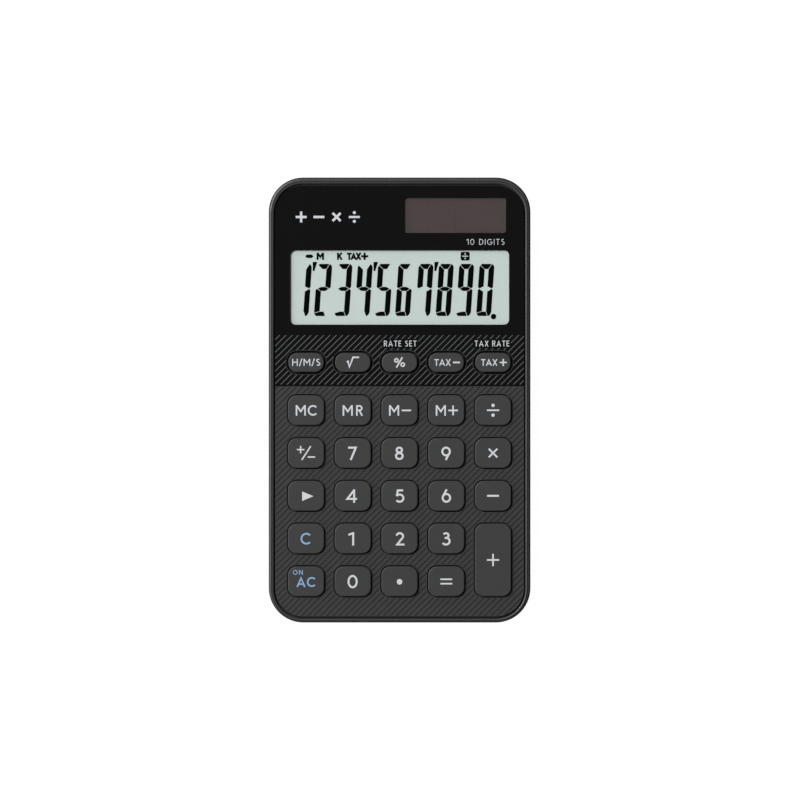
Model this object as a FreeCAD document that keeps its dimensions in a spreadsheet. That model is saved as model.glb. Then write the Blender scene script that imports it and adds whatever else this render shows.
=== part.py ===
import FreeCAD, Part
import math
import os
from types import SimpleNamespace

import Sketcher
from FreeCAD import Vector

# A pocket calculator, in millimetres.
# The origin is the centre of its flat back, +X is to the right, +Y runs from the keypad
# towards the display, and +Z points out of the keys.

# Driving dimensions: alias, value, meaning.
DIMENSIONS = [
    # Outer case
    ("case_width", 69.7, "overall width of the case"),
    ("case_length", 118.5, "overall length of the case"),
    ("case_corner", 9.2, "radius of the case corners seen from the front"),
    ("wall", 1.4, "thickness of the side walls and width of the front rim"),
    ("rim_outer_round", 0.65, "rounding of the front rim's outer edge"),
    ("rim_inner_round", 0.35, "rounding of the front rim's inner edge"),
    ("rim_line_inset", 0.68, "distance of the fine line round the rim from the outer edge"),
    ("rim_line_width", 0.18, "width of the fine line round the rim"),
    ("rim_line_depth", 0.12, "depth of the fine line round the rim"),
    ("rim_top", 7.25, "height of the front rim above the back"),
    ("parting_level", 3.4, "height where the rear and front cases meet"),
    ("floor_thickness", 1.1, "thickness of the rear case floor"),
    ("back_edge_round", 2.0, "rounding of the back edge"),
    ("rib_width", 1.1, "width of the ribs on the rear case floor"),
    ("board_rib_length", 42.0, "length of the ribs behind the circuit board"),
    ("pad_rib_length", 19.0, "length of the ribs behind the solar cell"),
    ("lip_height", 0.6, "height of the rear case lip above the parting level"),
    ("lip_thickness", 0.6, "thickness of that lip"),
    ("lip_gap", 0.1, "gap between the lip and its rebate"),
    ("seam_gap", 0.12, "visible gap between the two cases"),
    # Deck of the front case and the two inset plates
    ("deck_bottom", 5.35, "underside of the front case deck"),
    ("deck_top", 6.2, "top of the front case deck"),
    ("adhesive_thickness", 0.1, "thickness of the adhesive films"),
    ("plate_top", 6.95, "outer face of the two inset plates"),
    ("plate_gap", 0.25, "gap between an inset plate and the rim at the sides"),
    ("plate_end_gap", 0.45, "gap between an inset plate and the rim at the top and bottom"),
    ("recess_y", -0.33, "Y of the middle of the recess that holds the inset plates"),
    ("plate_edge_bevel", 0.12, "bevel along the plates' outer edges"),
    ("panel_end", 4.0, "Y of the display panel's lower edge"),
    ("keypad_end", 3.72, "Y of the keypad plate's upper edge"),
    ("adhesive_margin", 0.4, "how far the films stay inside a plate's outline and openings"),
    # Diagonal grooves in the keypad plate
    ("groove_pitch", 1.19, "distance between neighbouring grooves"),
    ("groove_width", 0.28, "width of a groove"),
    ("groove_depth", 0.15, "depth of a groove"),
    ("groove_margin", 0.2, "land left along the plate's edge and round its key holes"),
    ("groove_start", 0.425, "distance from the origin to the nearest groove"),
    # Key grid
    ("column_pitch", 12.44, "spacing of the key columns"),
    ("row_pitch", 11.385, "spacing of the five lower key rows"),
    ("memory_row", -2.73, "Y of the upper row of full-size keys"),
    ("function_row", 10.0, "Y of the row of function keys"),
    ("key_width", 9.72, "width of a full-size key cap"),
    ("key_height", 8.05, "height of a full-size key cap, along Y"),
    ("key_corner", 2.4, "corner radius of a key cap"),
    ("function_key_width", 9.5, "width of a function key cap"),
    ("function_key_height", 5.15, "height of a function key cap, along Y"),
    ("key_top", 8.0, "outer face of the keys"),
    ("key_edge_round", 0.3, "rounding of a key cap's upper edge"),
    ("key_travel", 0.9, "how far a key slides down"),
    ("key_clearance", 0.3, "gap round a key cap in its hole"),
    ("key_roof", 1.2, "thickness of a key cap's top"),
    ("key_skirt", 1.0, "thickness of a key cap's side"),
    ("flange_margin", 0.65, "how far a key's flange stands out from the cap"),
    ("flange_bottom", 4.65, "underside of the key flanges"),
    ("flange_thickness", 0.6, "thickness of the key flanges"),
    ("stem_diameter", 2.6, "stem inside each key that presses its dome"),
    ("function_hole_bevel", 0.15, "bevel round the function key holes"),
    # Display window and liquid crystal display
    ("lcd_window_width", 58.3, "width of the display window"),
    ("lcd_window_height", 19.8, "height of the display window, along Y"),
    ("lcd_window_corner", 1.4, "corner radius of the display window"),
    ("lcd_y", 29.97, "Y of the display window's middle"),
    ("lcd_glass_width", 60.3, "width of the display glass"),
    ("lcd_glass_height", 21.8, "height of the front display glass, along Y"),
    ("lcd_glass_thickness", 0.5, "thickness of each display glass"),
    ("lcd_ledge", 2.5, "how much shorter the rear glass is, for the contacts"),
    ("lcd_top", 6.2, "top of the front polarizer"),
    ("polarizer_thickness", 0.15, "thickness of each polarizer"),
    ("polarizer_margin", 0.4, "how far the polarizers stay inside the glass"),
    ("opening_clearance", 0.15, "gap round the display and the solar cell in the deck"),
    ("holder_wall", 1.4, "wall of the display holder"),
    ("holder_inset", 1.2, "how far the holder stays inside the rear glass"),
    ("strip_width", 1.6, "width of the contact strip, along Y"),
    ("strip_length", 54.0, "length of the contact strip"),
    # Solar cell
    ("solar_window_width", 27.2, "width of the solar window"),
    ("solar_window_height", 9.4, "height of the solar window, along Y"),
    ("solar_window_corner", 0.8, "corner radius of the solar window"),
    ("solar_x", 14.73, "X of the solar window's middle"),
    ("solar_y", 49.18, "Y of the solar window's middle"),
    ("solar_cell_margin", 0.8, "how far the cell reaches past its window on each side"),
    ("solar_cell_thickness", 0.9, "thickness of the solar cell"),
    ("solar_pad_thickness", 1.0, "thickness of the foam behind the cell"),
    ("solar_pad_margin", 1.2, "how far the foam stays inside the cell's outline"),
    ("wire_diameter", 0.7, "diameter of the solar cell's leads"),
    ("wire_x", 4.0, "X of the red lead"),
    ("wire_spacing", 3.0, "distance between the two leads"),
    ("wire_bend", 0.9, "bend radius of the leads"),
    ("wire_run", 3.7, "level of the leads' straight run"),
    # Clear panes
    ("pane_ledge", 0.6, "how far a pane reaches past its window on each side"),
    ("pane_thickness", 0.35, "thickness of the clear panes"),
    ("pane_gap", 0.05, "gap round a pane in its rebate"),
    # Circuit board and rubber sheet
    ("board_bottom", 1.8, "underside of the circuit board"),
    ("board_thickness", 0.8, "thickness of the circuit board"),
    ("board_width", 64.0, "width of the circuit board"),
    ("board_start", -56.0, "Y of the circuit board's lower edge"),
    ("board_end", 42.1, "Y of the circuit board's upper edge"),
    ("board_corner", 6.5, "corner radius of the circuit board"),
    ("sheet_thickness", 0.5, "thickness of the rubber sheet between its domes"),
    ("sheet_width", 61.4, "width of the rubber sheet"),
    ("sheet_start", -53.4, "Y of the rubber sheet's lower edge"),
    ("sheet_end", 13.9, "Y of the rubber sheet's upper edge"),
    ("sheet_corner", 3.0, "corner radius of the rubber sheet"),
    ("dome_top", 4.6, "top of the rubber domes"),
    ("dome_base_diameter", 7.0, "outer diameter of a dome at the sheet"),
    ("dome_top_diameter", 4.4, "outer diameter of a dome at its top"),
    ("dome_wall", 0.4, "wall thickness of a dome"),
    ("dome_hollow_top", 4.5, "diameter of a dome's hollow at its top"),
    ("dome_spare", 0.4, "height left inside a dome when its key is down"),
    # Screws
    ("case_screw_x", 30.9, "X of the upper and middle case screws"),
    ("case_screw_upper", 42.4, "Y of the upper case screws"),
    ("case_screw_middle", 4.35, "Y of the middle case screws"),
    ("case_screw_corner_x", 26.5, "X of the lower case screws"),
    ("case_screw_lower", -55.2, "Y of the lower case screws"),
    ("case_screw_diameter", 1.4, "thread diameter of the case screws"),
    ("case_screw_head", 2.5, "head diameter of the case screws"),
    ("case_screw_head_height", 0.8, "head height of the case screws"),
    ("case_screw_reach", 5.6, "level that the case screws' tips reach"),
    ("case_screw_recess", 0.2, "depth of the screw heads below the back"),
    ("counterbore_diameter", 2.8, "diameter of the counterbores in the back"),
    ("boss_diameter", 3.0, "diameter of the case screw bosses"),
    ("boss_top", 1.9, "top of the rear case bosses"),
    ("pilot_clearance", 0.1, "how much wider than its thread a screw's pilot hole is"),
    ("passage_clearance", 0.2, "how much wider than its thread a screw's passage is"),
    ("drive_width", 0.35, "width of the cross slot in a screw head"),
    ("drive_depth", 0.4, "depth of that slot"),
    ("board_screw_diameter", 1.2, "thread diameter of the board screws"),
    ("board_screw_head", 2.2, "head diameter of the board screws"),
    ("board_screw_head_height", 0.5, "head height of the board screws"),
    ("board_screw_reach", 5.0, "level that the board screws' tips reach"),
    ("board_boss_diameter", 2.6, "diameter of the board screw bosses"),
    ("board_screw_upper", 16.2, "Y of the upper board screws"),
    # Button cell
    ("cell_diameter", 11.6, "diameter of the button cell"),
    ("cell_height", 3.05, "height of the button cell"),
    ("cell_bottom", 1.2, "level of the button cell's lower face"),
    ("cell_x", -20.5, "X of the button cell"),
    ("cell_y", 48.4, "Y of the button cell"),
    ("cell_rim_round", 0.3, "rounding of the button cell's can"),
    ("cell_cap_diameter", 8.6, "diameter of the button cell's negative cap"),
    ("cell_cap_height", 0.35, "height of the negative cap"),
    ("cradle_gap", 0.3, "gap between the cell and its cradle"),
    ("cradle_wall", 0.9, "wall of the cell's cradle"),
    ("contact_thickness", 0.2, "thickness of the battery contacts"),
    ("contact_width", 3.6, "width of the negative contact"),
    # Small parts on the board
    ("blob_diameter", 9.0, "diameter of the epoxy drop over the chip"),
    ("blob_height", 1.3, "height of that drop"),
    ("blob_round", 1.1, "rounding of the drop's edge"),
    ("blob_x", -9.0, "X of the chip"),
    ("blob_y", 31.0, "Y of the chip"),
    ("chip_length", 1.6, "length of the chip capacitors and resistors"),
    ("chip_width", 0.8, "width of the chip capacitors and resistors"),
    ("chip_spacing", 3.0, "spacing of the chip capacitors and resistors"),
    ("chips_x", 10.3, "X of the first small part of each row"),
    ("capacitor_thickness", 0.8, "thickness of the chip capacitors"),
    ("capacitors_y", 33.0, "Y of the chip capacitors"),
    ("resistor_thickness", 0.45, "thickness of the chip resistors"),
    ("resistors_y", 28.5, "Y of the chip resistors"),
    ("diode_length", 2.9, "length of the blocking diode"),
    ("diode_width", 1.3, "width of the blocking diode"),
    ("diode_thickness", 1.0, "thickness of the blocking diode"),
    ("diode_y", 25.0, "Y of the blocking diode"),
]

# Keys: node name, kind, column from the left, row from the top (row 0 is the function row).
KEYS = [
    ("key_hms", "function", 0, 0),
    ("key_square_root", "function", 1, 0),
    ("key_percent", "function", 2, 0),
    ("key_tax_minus", "function", 3, 0),
    ("key_tax_plus", "function", 4, 0),
    ("key_mc", "full", 0, 1),
    ("key_mr", "full", 1, 1),
    ("key_m_minus", "full", 2, 1),
    ("key_m_plus", "full", 3, 1),
    ("key_divide", "full", 4, 1),
    ("key_sign_change", "full", 0, 2),
    ("key_7", "full", 1, 2),
    ("key_8", "full", 2, 2),
    ("key_9", "full", 3, 2),
    ("key_multiply", "full", 4, 2),
    ("key_backspace", "full", 0, 3),
    ("key_4", "full", 1, 3),
    ("key_5", "full", 2, 3),
    ("key_6", "full", 3, 3),
    ("key_minus", "full", 4, 3),
    ("key_clear", "full", 0, 4),
    ("key_1", "full", 1, 4),
    ("key_2", "full", 2, 4),
    ("key_3", "full", 3, 4),
    ("key_plus", "tall", 4, 4),
    ("key_all_clear", "full", 0, 5),
    ("key_0", "full", 1, 5),
    ("key_decimal_point", "full", 2, 5),
    ("key_equals", "full", 3, 5),
]


class Size:
    """A length, with its value and the sheet expression that gives it."""

    def __init__(self, value, text):
        self.value = value
        self.text = text

    def __add__(self, other):
        other = as_size(other)
        return Size(self.value + other.value, f"({self.text} + {other.text})")

    def __sub__(self, other):
        other = as_size(other)
        return Size(self.value - other.value, f"({self.text} - {other.text})")

    def __mul__(self, number):
        return Size(self.value * number, f"{self.text} * {number}")

    def __truediv__(self, number):
        return Size(self.value / number, f"{self.text} / {number}")

    def __neg__(self):
        return Size(-self.value, f"(0 - {self.text})")

    __rmul__ = __mul__


def as_size(length):
    """A plain number as a Size."""
    return length if isinstance(length, Size) else Size(length, str(length))


def make_sheet(document):
    """The spreadsheet of driving dimensions, and the same dimensions as Sizes."""
    sheet = document.addObject("Spreadsheet::Sheet", "Sizes")
    for row, (alias, value, meaning) in enumerate(DIMENSIONS, start=1):
        sheet.set(f"A{row}", meaning)
        sheet.set(f"B{row}", str(value))
        sheet.setAlias(f"B{row}", alias)
    document.recompute()
    return SimpleNamespace(**{alias: Size(value, f"Sizes.{alias}") for alias, value, _ in DIMENSIONS})


doc = FreeCAD.newDocument("Calculator")
size = make_sheet(doc)
ZERO = as_size(0)

# Levels and outlines that several pieces share.
plate_bottom = size.deck_top + size.adhesive_thickness
front_bottom = size.parting_level + size.seam_gap
board_top = size.board_bottom + size.board_thickness
sheet_top = board_top + size.sheet_thickness
first_column = size.column_pitch * -2
last_column = size.column_pitch * 2
plate_inset = size.wall + size.plate_gap
plate_end_inset = size.wall + size.plate_end_gap
hole_width = size.key_width + size.key_clearance * 2
hole_height = size.key_height + size.key_clearance * 2
hole_corner = size.key_corner + size.key_clearance
function_hole_width = size.function_key_width + size.key_clearance * 2
function_hole_height = size.function_key_height + size.key_clearance * 2
tall_key_height = size.key_height + size.row_pitch
tall_key_row = size.memory_row - size.row_pitch * 3.5
lcd_glass_bottom = size.lcd_top - size.polarizer_thickness - size.lcd_glass_thickness
lcd_rear_bottom = lcd_glass_bottom - size.lcd_glass_thickness - size.polarizer_thickness
lcd_glass_start = size.lcd_y - size.lcd_glass_height / 2
rear_glass_height = size.lcd_glass_height - size.lcd_ledge
rear_glass_y = size.lcd_y + size.lcd_ledge / 2
solar_cell_width = size.solar_window_width + size.solar_cell_margin * 2
solar_cell_height = size.solar_window_height + size.solar_cell_margin * 2
solar_cell_bottom = size.deck_top - size.solar_cell_thickness
case_screw_places = [
    (side * x, y)
    for side in (-1, 1)
    for x, y in (
        (size.case_screw_x, size.case_screw_upper),
        (size.case_screw_x, size.case_screw_middle),
        (size.case_screw_corner_x, size.case_screw_lower),
    )
]
board_screw_places = [
    (size.column_pitch * columns, y)
    for columns, y in (
        (-1.5, size.board_screw_upper),
        (1.5, size.board_screw_upper),
        (-1.5, size.memory_row - size.row_pitch / 2),
        (1.5, size.memory_row - size.row_pitch / 2),
        (-0.5, size.memory_row - size.row_pitch * 3.5),
        (0.5, size.memory_row - size.row_pitch * 3.5),
    )
]
sub_parts = []


def bind(thing, path, length):
    """Drives one property of an object by the sheet."""
    thing.setExpression(path, as_size(length).text)


def new_body(label, x=ZERO, y=ZERO):
    """An empty body at x, y, which becomes one piece of the calculator."""
    body = doc.addObject("PartDesign::Body", label)
    body.Label = label
    bind(body, "Placement.Base.x", x)
    bind(body, "Placement.Base.y", y)
    sub_parts.append(body)
    return body


def new_sketch(body, name, level=ZERO, role="XY_Plane"):
    """A sketch on one of the body's own origin planes, raised to a level."""
    sketch = body.newObject("Sketcher::SketchObject", name)
    plane = next(f for f in body.Origin.OriginFeatures if f.Role == role)
    sketch.AttachmentSupport = [(plane, "")]
    sketch.MapMode = "FlatFace"
    bind(sketch, "AttachmentOffset.Base.z", level)
    return sketch


def constrain(sketch, kind, *arguments):
    """Adds a constraint. A last argument that is a Size drives it by the sheet."""
    *places, last = arguments
    if isinstance(last, Size):
        index = sketch.addConstraint(Sketcher.Constraint(kind, *places, last.value))
        bind(sketch, f"Constraints[{index}]", last)
    else:
        sketch.addConstraint(Sketcher.Constraint(kind, *places, last))


def add_rectangle(sketch, width, height, x=ZERO, y=ZERO):
    """Adds a rectangle with its middle at x, y."""
    left, right = (x.value - width.value / 2, x.value + width.value / 2)
    low, high = (y.value - height.value / 2, y.value + height.value / 2)
    corners = [Vector(left, low), Vector(right, low), Vector(right, high), Vector(left, high)]
    first = sketch.GeometryCount
    for number in range(4):
        sketch.addGeometry(Part.LineSegment(corners[number], corners[(number + 1) % 4]))
    for number in range(4):
        constrain(sketch, "Coincident", first + number, 2, first + (number + 1) % 4, 1)
        constrain(sketch, ("Horizontal", "Vertical")[number % 2], first + number)
    constrain(sketch, "DistanceX", first, 1, first, 2, width)
    constrain(sketch, "DistanceY", first + 1, 1, first + 1, 2, height)
    constrain(sketch, "DistanceX", -1, 1, first + 1, 1, x + width / 2)
    constrain(sketch, "DistanceY", -1, 1, first + 2, 1, y + height / 2)


def add_rounded_rectangle(sketch, width, height, corner, x=ZERO, y=ZERO):
    """Adds a rectangle with round corners and its middle at x, y."""
    half_x, half_y, radius = (width.value / 2, height.value / 2, corner.value)
    inner_x, inner_y = (half_x - radius, half_y - radius)
    middle = Vector(x.value, y.value)
    first = sketch.GeometryCount
    sides = (
        (Vector(-inner_x, -half_y), Vector(inner_x, -half_y)),
        (Vector(half_x, -inner_y), Vector(half_x, inner_y)),
        (Vector(inner_x, half_y), Vector(-inner_x, half_y)),
        (Vector(-half_x, inner_y), Vector(-half_x, -inner_y)),
    )
    centres = ((inner_x, -inner_y), (inner_x, inner_y), (-inner_x, inner_y), (-inner_x, -inner_y))
    for number in range(4):
        start, end = sides[number]
        sketch.addGeometry(Part.LineSegment(middle + start, middle + end))
        circle = Part.Circle(middle + Vector(*centres[number]), Vector(0, 0, 1), radius)
        turn = (number - 1) * math.pi / 2
        sketch.addGeometry(Part.ArcOfCircle(circle, turn, turn + math.pi / 2))
    for number in range(4):
        line = first + 2 * number
        arc = line + 1
        next_line = first + (2 * number + 2) % 8
        constrain(sketch, "Tangent", line, 2, arc, 1)
        constrain(sketch, "Tangent", arc, 2, next_line, 1)
        constrain(sketch, ("Horizontal", "Vertical")[number % 2], line)
        if number:
            constrain(sketch, "Equal", first + 1, arc)
    constrain(sketch, "Radius", first + 1, corner)
    constrain(sketch, "DistanceX", first + 6, 1, first + 2, 1, width)
    constrain(sketch, "DistanceY", first, 1, first + 4, 1, height)
    constrain(sketch, "DistanceX", -1, 1, first + 2, 1, x + width / 2)
    constrain(sketch, "DistanceY", -1, 1, first + 4, 1, y + height / 2)


def add_circle(sketch, diameter, x=ZERO, y=ZERO):
    """Adds a circle with its centre at x, y."""
    circle = Part.Circle(Vector(x.value, y.value), Vector(0, 0, 1), diameter.value / 2)
    index = sketch.addGeometry(circle)
    constrain(sketch, "Diameter", index, diameter)
    constrain(sketch, "DistanceX", -1, 1, index, 3, x)
    constrain(sketch, "DistanceY", -1, 1, index, 3, y)


def add_polyline(sketch, points):
    """Adds a closed outline of straight sides through points, each an (x, y) of Sizes."""
    first = sketch.GeometryCount
    count = len(points)
    for number in range(count):
        ends = (points[number], points[(number + 1) % count])
        start, end = (Vector(px.value, py.value) for px, py in ends)
        sketch.addGeometry(Part.LineSegment(start, end))
    for number, (px, py) in enumerate(points):
        constrain(sketch, "Coincident", first + number, 2, first + (number + 1) % count, 1)
        constrain(sketch, "DistanceX", -1, 1, first + number, 1, px)
        constrain(sketch, "DistanceY", -1, 1, first + number, 1, py)


def pad(body, name, sketch, length, midplane=False, taper=None):
    """Raises a sketch into solid material."""
    feature = body.newObject("PartDesign::Pad", name)
    feature.Profile = sketch
    feature.Midplane = midplane
    bind(feature, "Length", length)
    if taper is not None:
        feature.TaperAngle = taper
    return feature


def pocket(body, name, sketch, depth, upwards=False, taper=None):
    """Cuts a sketch down into the body, or up into it from below."""
    feature = body.newObject("PartDesign::Pocket", name)
    feature.Profile = sketch
    feature.Reversed = upwards
    bind(feature, "Length", depth)
    if taper is not None:
        feature.TaperAngle = taper
    return feature


def repeat(body, name, feature, columns, rows=1):
    """Repeats a feature over the key grid, to the right and downwards."""
    pattern = body.newObject("PartDesign::LinearPattern", name)
    pattern.Originals = [feature]
    pattern.Direction = (feature.Profile[0], ["H_Axis"])
    bind(pattern, "Length", size.column_pitch * max(columns - 1, 1))
    pattern.Occurrences = columns
    pattern.Direction2 = (feature.Profile[0], ["V_Axis"])
    pattern.Reversed2 = True
    bind(pattern, "Length2", size.row_pitch * max(rows - 1, 1))
    pattern.Occurrences2 = rows
    body.Tip = pattern
    return pattern


def edges_at(feature, level, wanted=lambda edge: True):
    """Names of the edges that lie flat at a level."""
    doc.recompute()
    names = []
    for number, edge in enumerate(feature.Shape.Edges, start=1):
        box = edge.BoundBox
        flat = abs(box.ZMin - level.value) < 1e-4 and abs(box.ZMax - level.value) < 1e-4
        if flat and wanted(edge):
            names.append(f"Edge{number}")
    return names


def is_on_outline(edge):
    """Whether an edge lies on the case's outer outline."""
    box = edge.BoundBox
    reach_x = max(box.XMax, -box.XMin)
    reach_y = max(box.YMax, -box.YMin)
    near_x = (size.case_width.value - size.wall.value) / 2
    near_y = (size.case_length.value - size.wall.value) / 2
    return reach_x > near_x or reach_y > near_y


def fillet(body, name, feature, edges, radius):
    """Rounds edges of the latest feature."""
    rounding = body.newObject("PartDesign::Fillet", name)
    rounding.Base = (feature, edges)
    bind(rounding, "Radius", radius)
    return rounding


def chamfer(body, name, feature, edges, width):
    """Bevels edges of the latest feature."""
    bevel = body.newObject("PartDesign::Chamfer", name)
    bevel.Base = (feature, edges)
    bind(bevel, "Size", width)
    return bevel


def case_outline(body, name, level, inset, y=ZERO):
    """A sketch of the case's outline, moved inwards by inset, with its middle at y."""
    sketch = new_sketch(body, name, level)
    width = size.case_width - inset * 2
    length = size.case_length - inset * 2
    add_rounded_rectangle(sketch, width, length, size.case_corner - inset, ZERO, y)
    return sketch


def plate_outline(body, name, level, margin=ZERO):
    """A sketch of the outline that both inset plates share, moved inwards by margin."""
    sketch = new_sketch(body, name, level)
    width = size.case_width - (plate_inset + margin) * 2
    length = size.case_length - (plate_end_inset + margin) * 2
    corner = size.case_corner - plate_inset - margin
    add_rounded_rectangle(sketch, width, length, corner, ZERO, size.recess_y)
    return sketch


def circles(body, name, level, places, diameter):
    """A sketch of equal circles."""
    sketch = new_sketch(body, name, level)
    for x, y in places:
        add_circle(sketch, diameter, x, y)
    return sketch


def cut_key_holes(body, level, depth, extra=ZERO):
    """Cuts the 24 holes of the lower keys, each side wider by extra."""
    width = hole_width + extra * 2
    height = hole_height + extra * 2
    corner = hole_corner + extra
    for group, x, columns, rows in (("Left", first_column, 4, 5), ("Right", last_column, 1, 3)):
        sketch = new_sketch(body, f"{group}HoleSketch", level)
        add_rounded_rectangle(sketch, width, height, corner, x, size.memory_row)
        hole = pocket(body, f"{group}Hole", sketch, depth)
        repeat(body, f"{group}Holes", hole, columns, rows)
    sketch = new_sketch(body, "TallHoleSketch", level)
    tall_height = tall_key_height + (size.key_clearance + extra) * 2
    add_rounded_rectangle(sketch, width, tall_height, corner, last_column, tall_key_row)
    pocket(body, "TallHole", sketch, depth)


def cut_function_holes(body, level, depth, extra=ZERO):
    """Cuts the five holes of the function keys, each side wider by extra."""
    sketch = new_sketch(body, "FunctionHoleSketch", level)
    width = function_hole_width + extra * 2
    height = function_hole_height + extra * 2
    corner = hole_corner + extra
    add_rounded_rectangle(sketch, width, height, corner, first_column, size.function_row)
    hole = pocket(body, "FunctionHole", sketch, depth)
    return repeat(body, "FunctionHoles", hole, 5)


def cut_window(body, name, level, depth, which, grow=ZERO):
    """Cuts the display's or the solar cell's opening, each side wider by grow."""
    sketch = new_sketch(body, f"{name}Sketch", level)
    if which == "display":
        width, height = (size.lcd_window_width, size.lcd_window_height)
        corner, x, y = (size.lcd_window_corner, ZERO, size.lcd_y)
    else:
        width, height = (size.solar_window_width, size.solar_window_height)
        corner, x, y = (size.solar_window_corner, size.solar_x, size.solar_y)
    add_rounded_rectangle(sketch, width + grow * 2, height + grow * 2, corner + grow, x, y)
    pocket(body, name, sketch, depth)


def make_rear_case():
    """Back shell: floor, walls, a lip for the front shell, screw bosses and ribs."""
    body = new_body("rear_case")
    outline = case_outline(body, "Outline", ZERO, ZERO)
    shell = pad(body, "Shell", outline, size.parting_level)
    fillet(body, "BackEdge", shell, edges_at(shell, ZERO), size.back_edge_round)
    inner = case_outline(body, "InnerOutline", size.parting_level, size.wall)
    pocket(body, "Inside", inner, size.parting_level - size.floor_thickness)
    lip = case_outline(body, "LipOutline", size.parting_level, size.wall - size.lip_thickness)
    inset = size.wall * 2
    width, length = (size.case_width - inset, size.case_length - inset)
    add_rounded_rectangle(lip, width, length, size.case_corner - size.wall)
    pad(body, "Lip", lip, size.lip_height)
    floor = size.floor_thickness
    bosses = circles(body, "BossCircles", floor, case_screw_places, size.boss_diameter)
    pad(body, "Bosses", bosses, size.boss_top - floor)
    make_rear_ribs(body)
    passage = size.case_screw_diameter + size.passage_clearance
    holes = circles(body, "HoleCircles", size.boss_top, case_screw_places, passage)
    pocket(body, "ScrewHoles", holes, size.boss_top)
    seat = size.case_screw_recess + size.case_screw_head_height
    bores = circles(body, "BoreCircles", seat, case_screw_places, size.counterbore_diameter)
    pocket(body, "Counterbores", bores, seat)


def make_rear_ribs(body):
    """Ribs that back the circuit board under each key row, and the solar cell's foam."""
    floor = size.floor_thickness
    for row in range(5):
        sketch = new_sketch(body, f"BoardRibSketch{row}", floor)
        rib_y = size.memory_row - size.row_pitch * row
        add_rectangle(sketch, size.board_rib_length, size.rib_width, ZERO, rib_y)
        pad(body, f"BoardRib{row}", sketch, size.board_bottom - floor)
    rib_top = solar_cell_bottom - size.solar_pad_thickness
    for side, name in ((-1, "Lower"), (1, "Upper")):
        sketch = new_sketch(body, f"{name}PadRibSketch", floor)
        rib_y = size.solar_y + side * size.solar_window_height / 4
        add_rectangle(sketch, size.pad_rib_length, size.rib_width, size.solar_x, rib_y)
        pad(body, f"{name}PadRib", sketch, rib_top - floor)


def make_front_case():
    """Front shell: walls, round rim, and a deck with the openings for keys and windows."""
    body = new_body("front_case")
    outline = case_outline(body, "Outline", front_bottom, ZERO)
    pad(body, "Shell", outline, size.rim_top - front_bottom)
    inset = case_outline(body, "InsetOutline", size.rim_top, size.wall, size.recess_y)
    recess = pocket(body, "Recess", inset, size.rim_top - size.deck_top)
    edges = edges_at(recess, size.rim_top, lambda edge: not is_on_outline(edge))
    inner = fillet(body, "InnerRim", recess, edges, size.rim_inner_round)
    edges = edges_at(inner, size.rim_top, is_on_outline)
    fillet(body, "OuterRim", inner, edges, size.rim_outer_round)
    cut_rim_line(body)
    inside = case_outline(body, "InsideOutline", size.deck_bottom, size.wall)
    pocket(body, "Inside", inside, size.deck_bottom - front_bottom)
    rebate_top = size.parting_level + size.lip_height + size.lip_gap
    skin = size.wall - size.lip_thickness - size.lip_gap
    rebate = case_outline(body, "Rebate", rebate_top, skin)
    pocket(body, "LipRebate", rebate, rebate_top - front_bottom)
    deck = size.deck_top - size.deck_bottom
    cut_key_holes(body, size.deck_top, deck)
    cut_function_holes(body, size.deck_top, deck)
    openings = (
        ("Display", size.lcd_glass_width, size.lcd_glass_height, ZERO, size.lcd_y),
        ("Solar", solar_cell_width, solar_cell_height, size.solar_x, size.solar_y),
    )
    grow = size.opening_clearance * 2
    for name, width, height, x, y in openings:
        extent = (width + grow, height + grow)
        cut_block(body, f"{name}Opening", size.deck_top, deck, extent, (x, y))
    make_front_bosses(body)
    make_cell_cradle(body)


def cut_rim_line(body):
    """Cuts the fine line that runs round the rim, between two outlines."""
    sketch = case_outline(body, "RimLine", size.rim_top, size.rim_line_inset, size.recess_y)
    inset = size.rim_line_inset + size.rim_line_width
    width = size.case_width - inset * 2
    length = size.case_length - inset * 2
    add_rounded_rectangle(sketch, width, length, size.case_corner - inset, ZERO, size.recess_y)
    pocket(body, "RimLineCut", sketch, size.rim_line_depth)


def cut_block(body, name, level, depth, extent, middle):
    """Cuts a rectangular opening down from a level."""
    sketch = new_sketch(body, f"{name}Sketch", level)
    add_rectangle(sketch, *extent, *middle)
    return pocket(body, name, sketch, depth)


def make_front_bosses(body):
    """Bosses under the deck that take the case screws and the board screws."""
    thread = size.case_screw_diameter
    top = size.case_screw_reach
    add_bosses(body, "Case", case_screw_places, size.boss_top, size.boss_diameter, thread, top)
    thread = size.board_screw_diameter
    top = size.board_screw_reach
    boss = size.board_boss_diameter
    add_bosses(body, "Board", board_screw_places, board_top, boss, thread, top)


def add_bosses(body, name, places, start, diameter, thread, screw_top):
    """Equal bosses from a level up to the deck, each with a pilot hole for a screw."""
    bosses = circles(body, f"{name}BossCircles", start, places, diameter)
    pad(body, f"{name}Bosses", bosses, size.deck_bottom - start)
    top = screw_top + size.lip_gap
    pilots = circles(body, f"{name}PilotCircles", top, places, thread + size.pilot_clearance)
    pocket(body, f"{name}Pilots", pilots, top - start)


def make_cell_cradle(body):
    """Ring wall round the button cell, open where the two contacts pass."""
    inner = size.cell_diameter + size.cradle_gap * 2
    outer = inner + size.cradle_wall * 2
    start = board_top + size.contact_thickness
    sketch = new_sketch(body, "CradleSketch", start)
    add_circle(sketch, outer, size.cell_x, size.cell_y)
    add_circle(sketch, inner, size.cell_x, size.cell_y)
    pad(body, "Cradle", sketch, size.deck_bottom - start)
    gap = (outer / 2 + size.contact_width, outer / 2 + size.cradle_wall)
    middle = (size.cell_x + outer / 4, size.cell_y - outer / 4)
    cut_block(body, "CradleGap", size.deck_bottom, size.deck_bottom - start, gap, middle)


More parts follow.
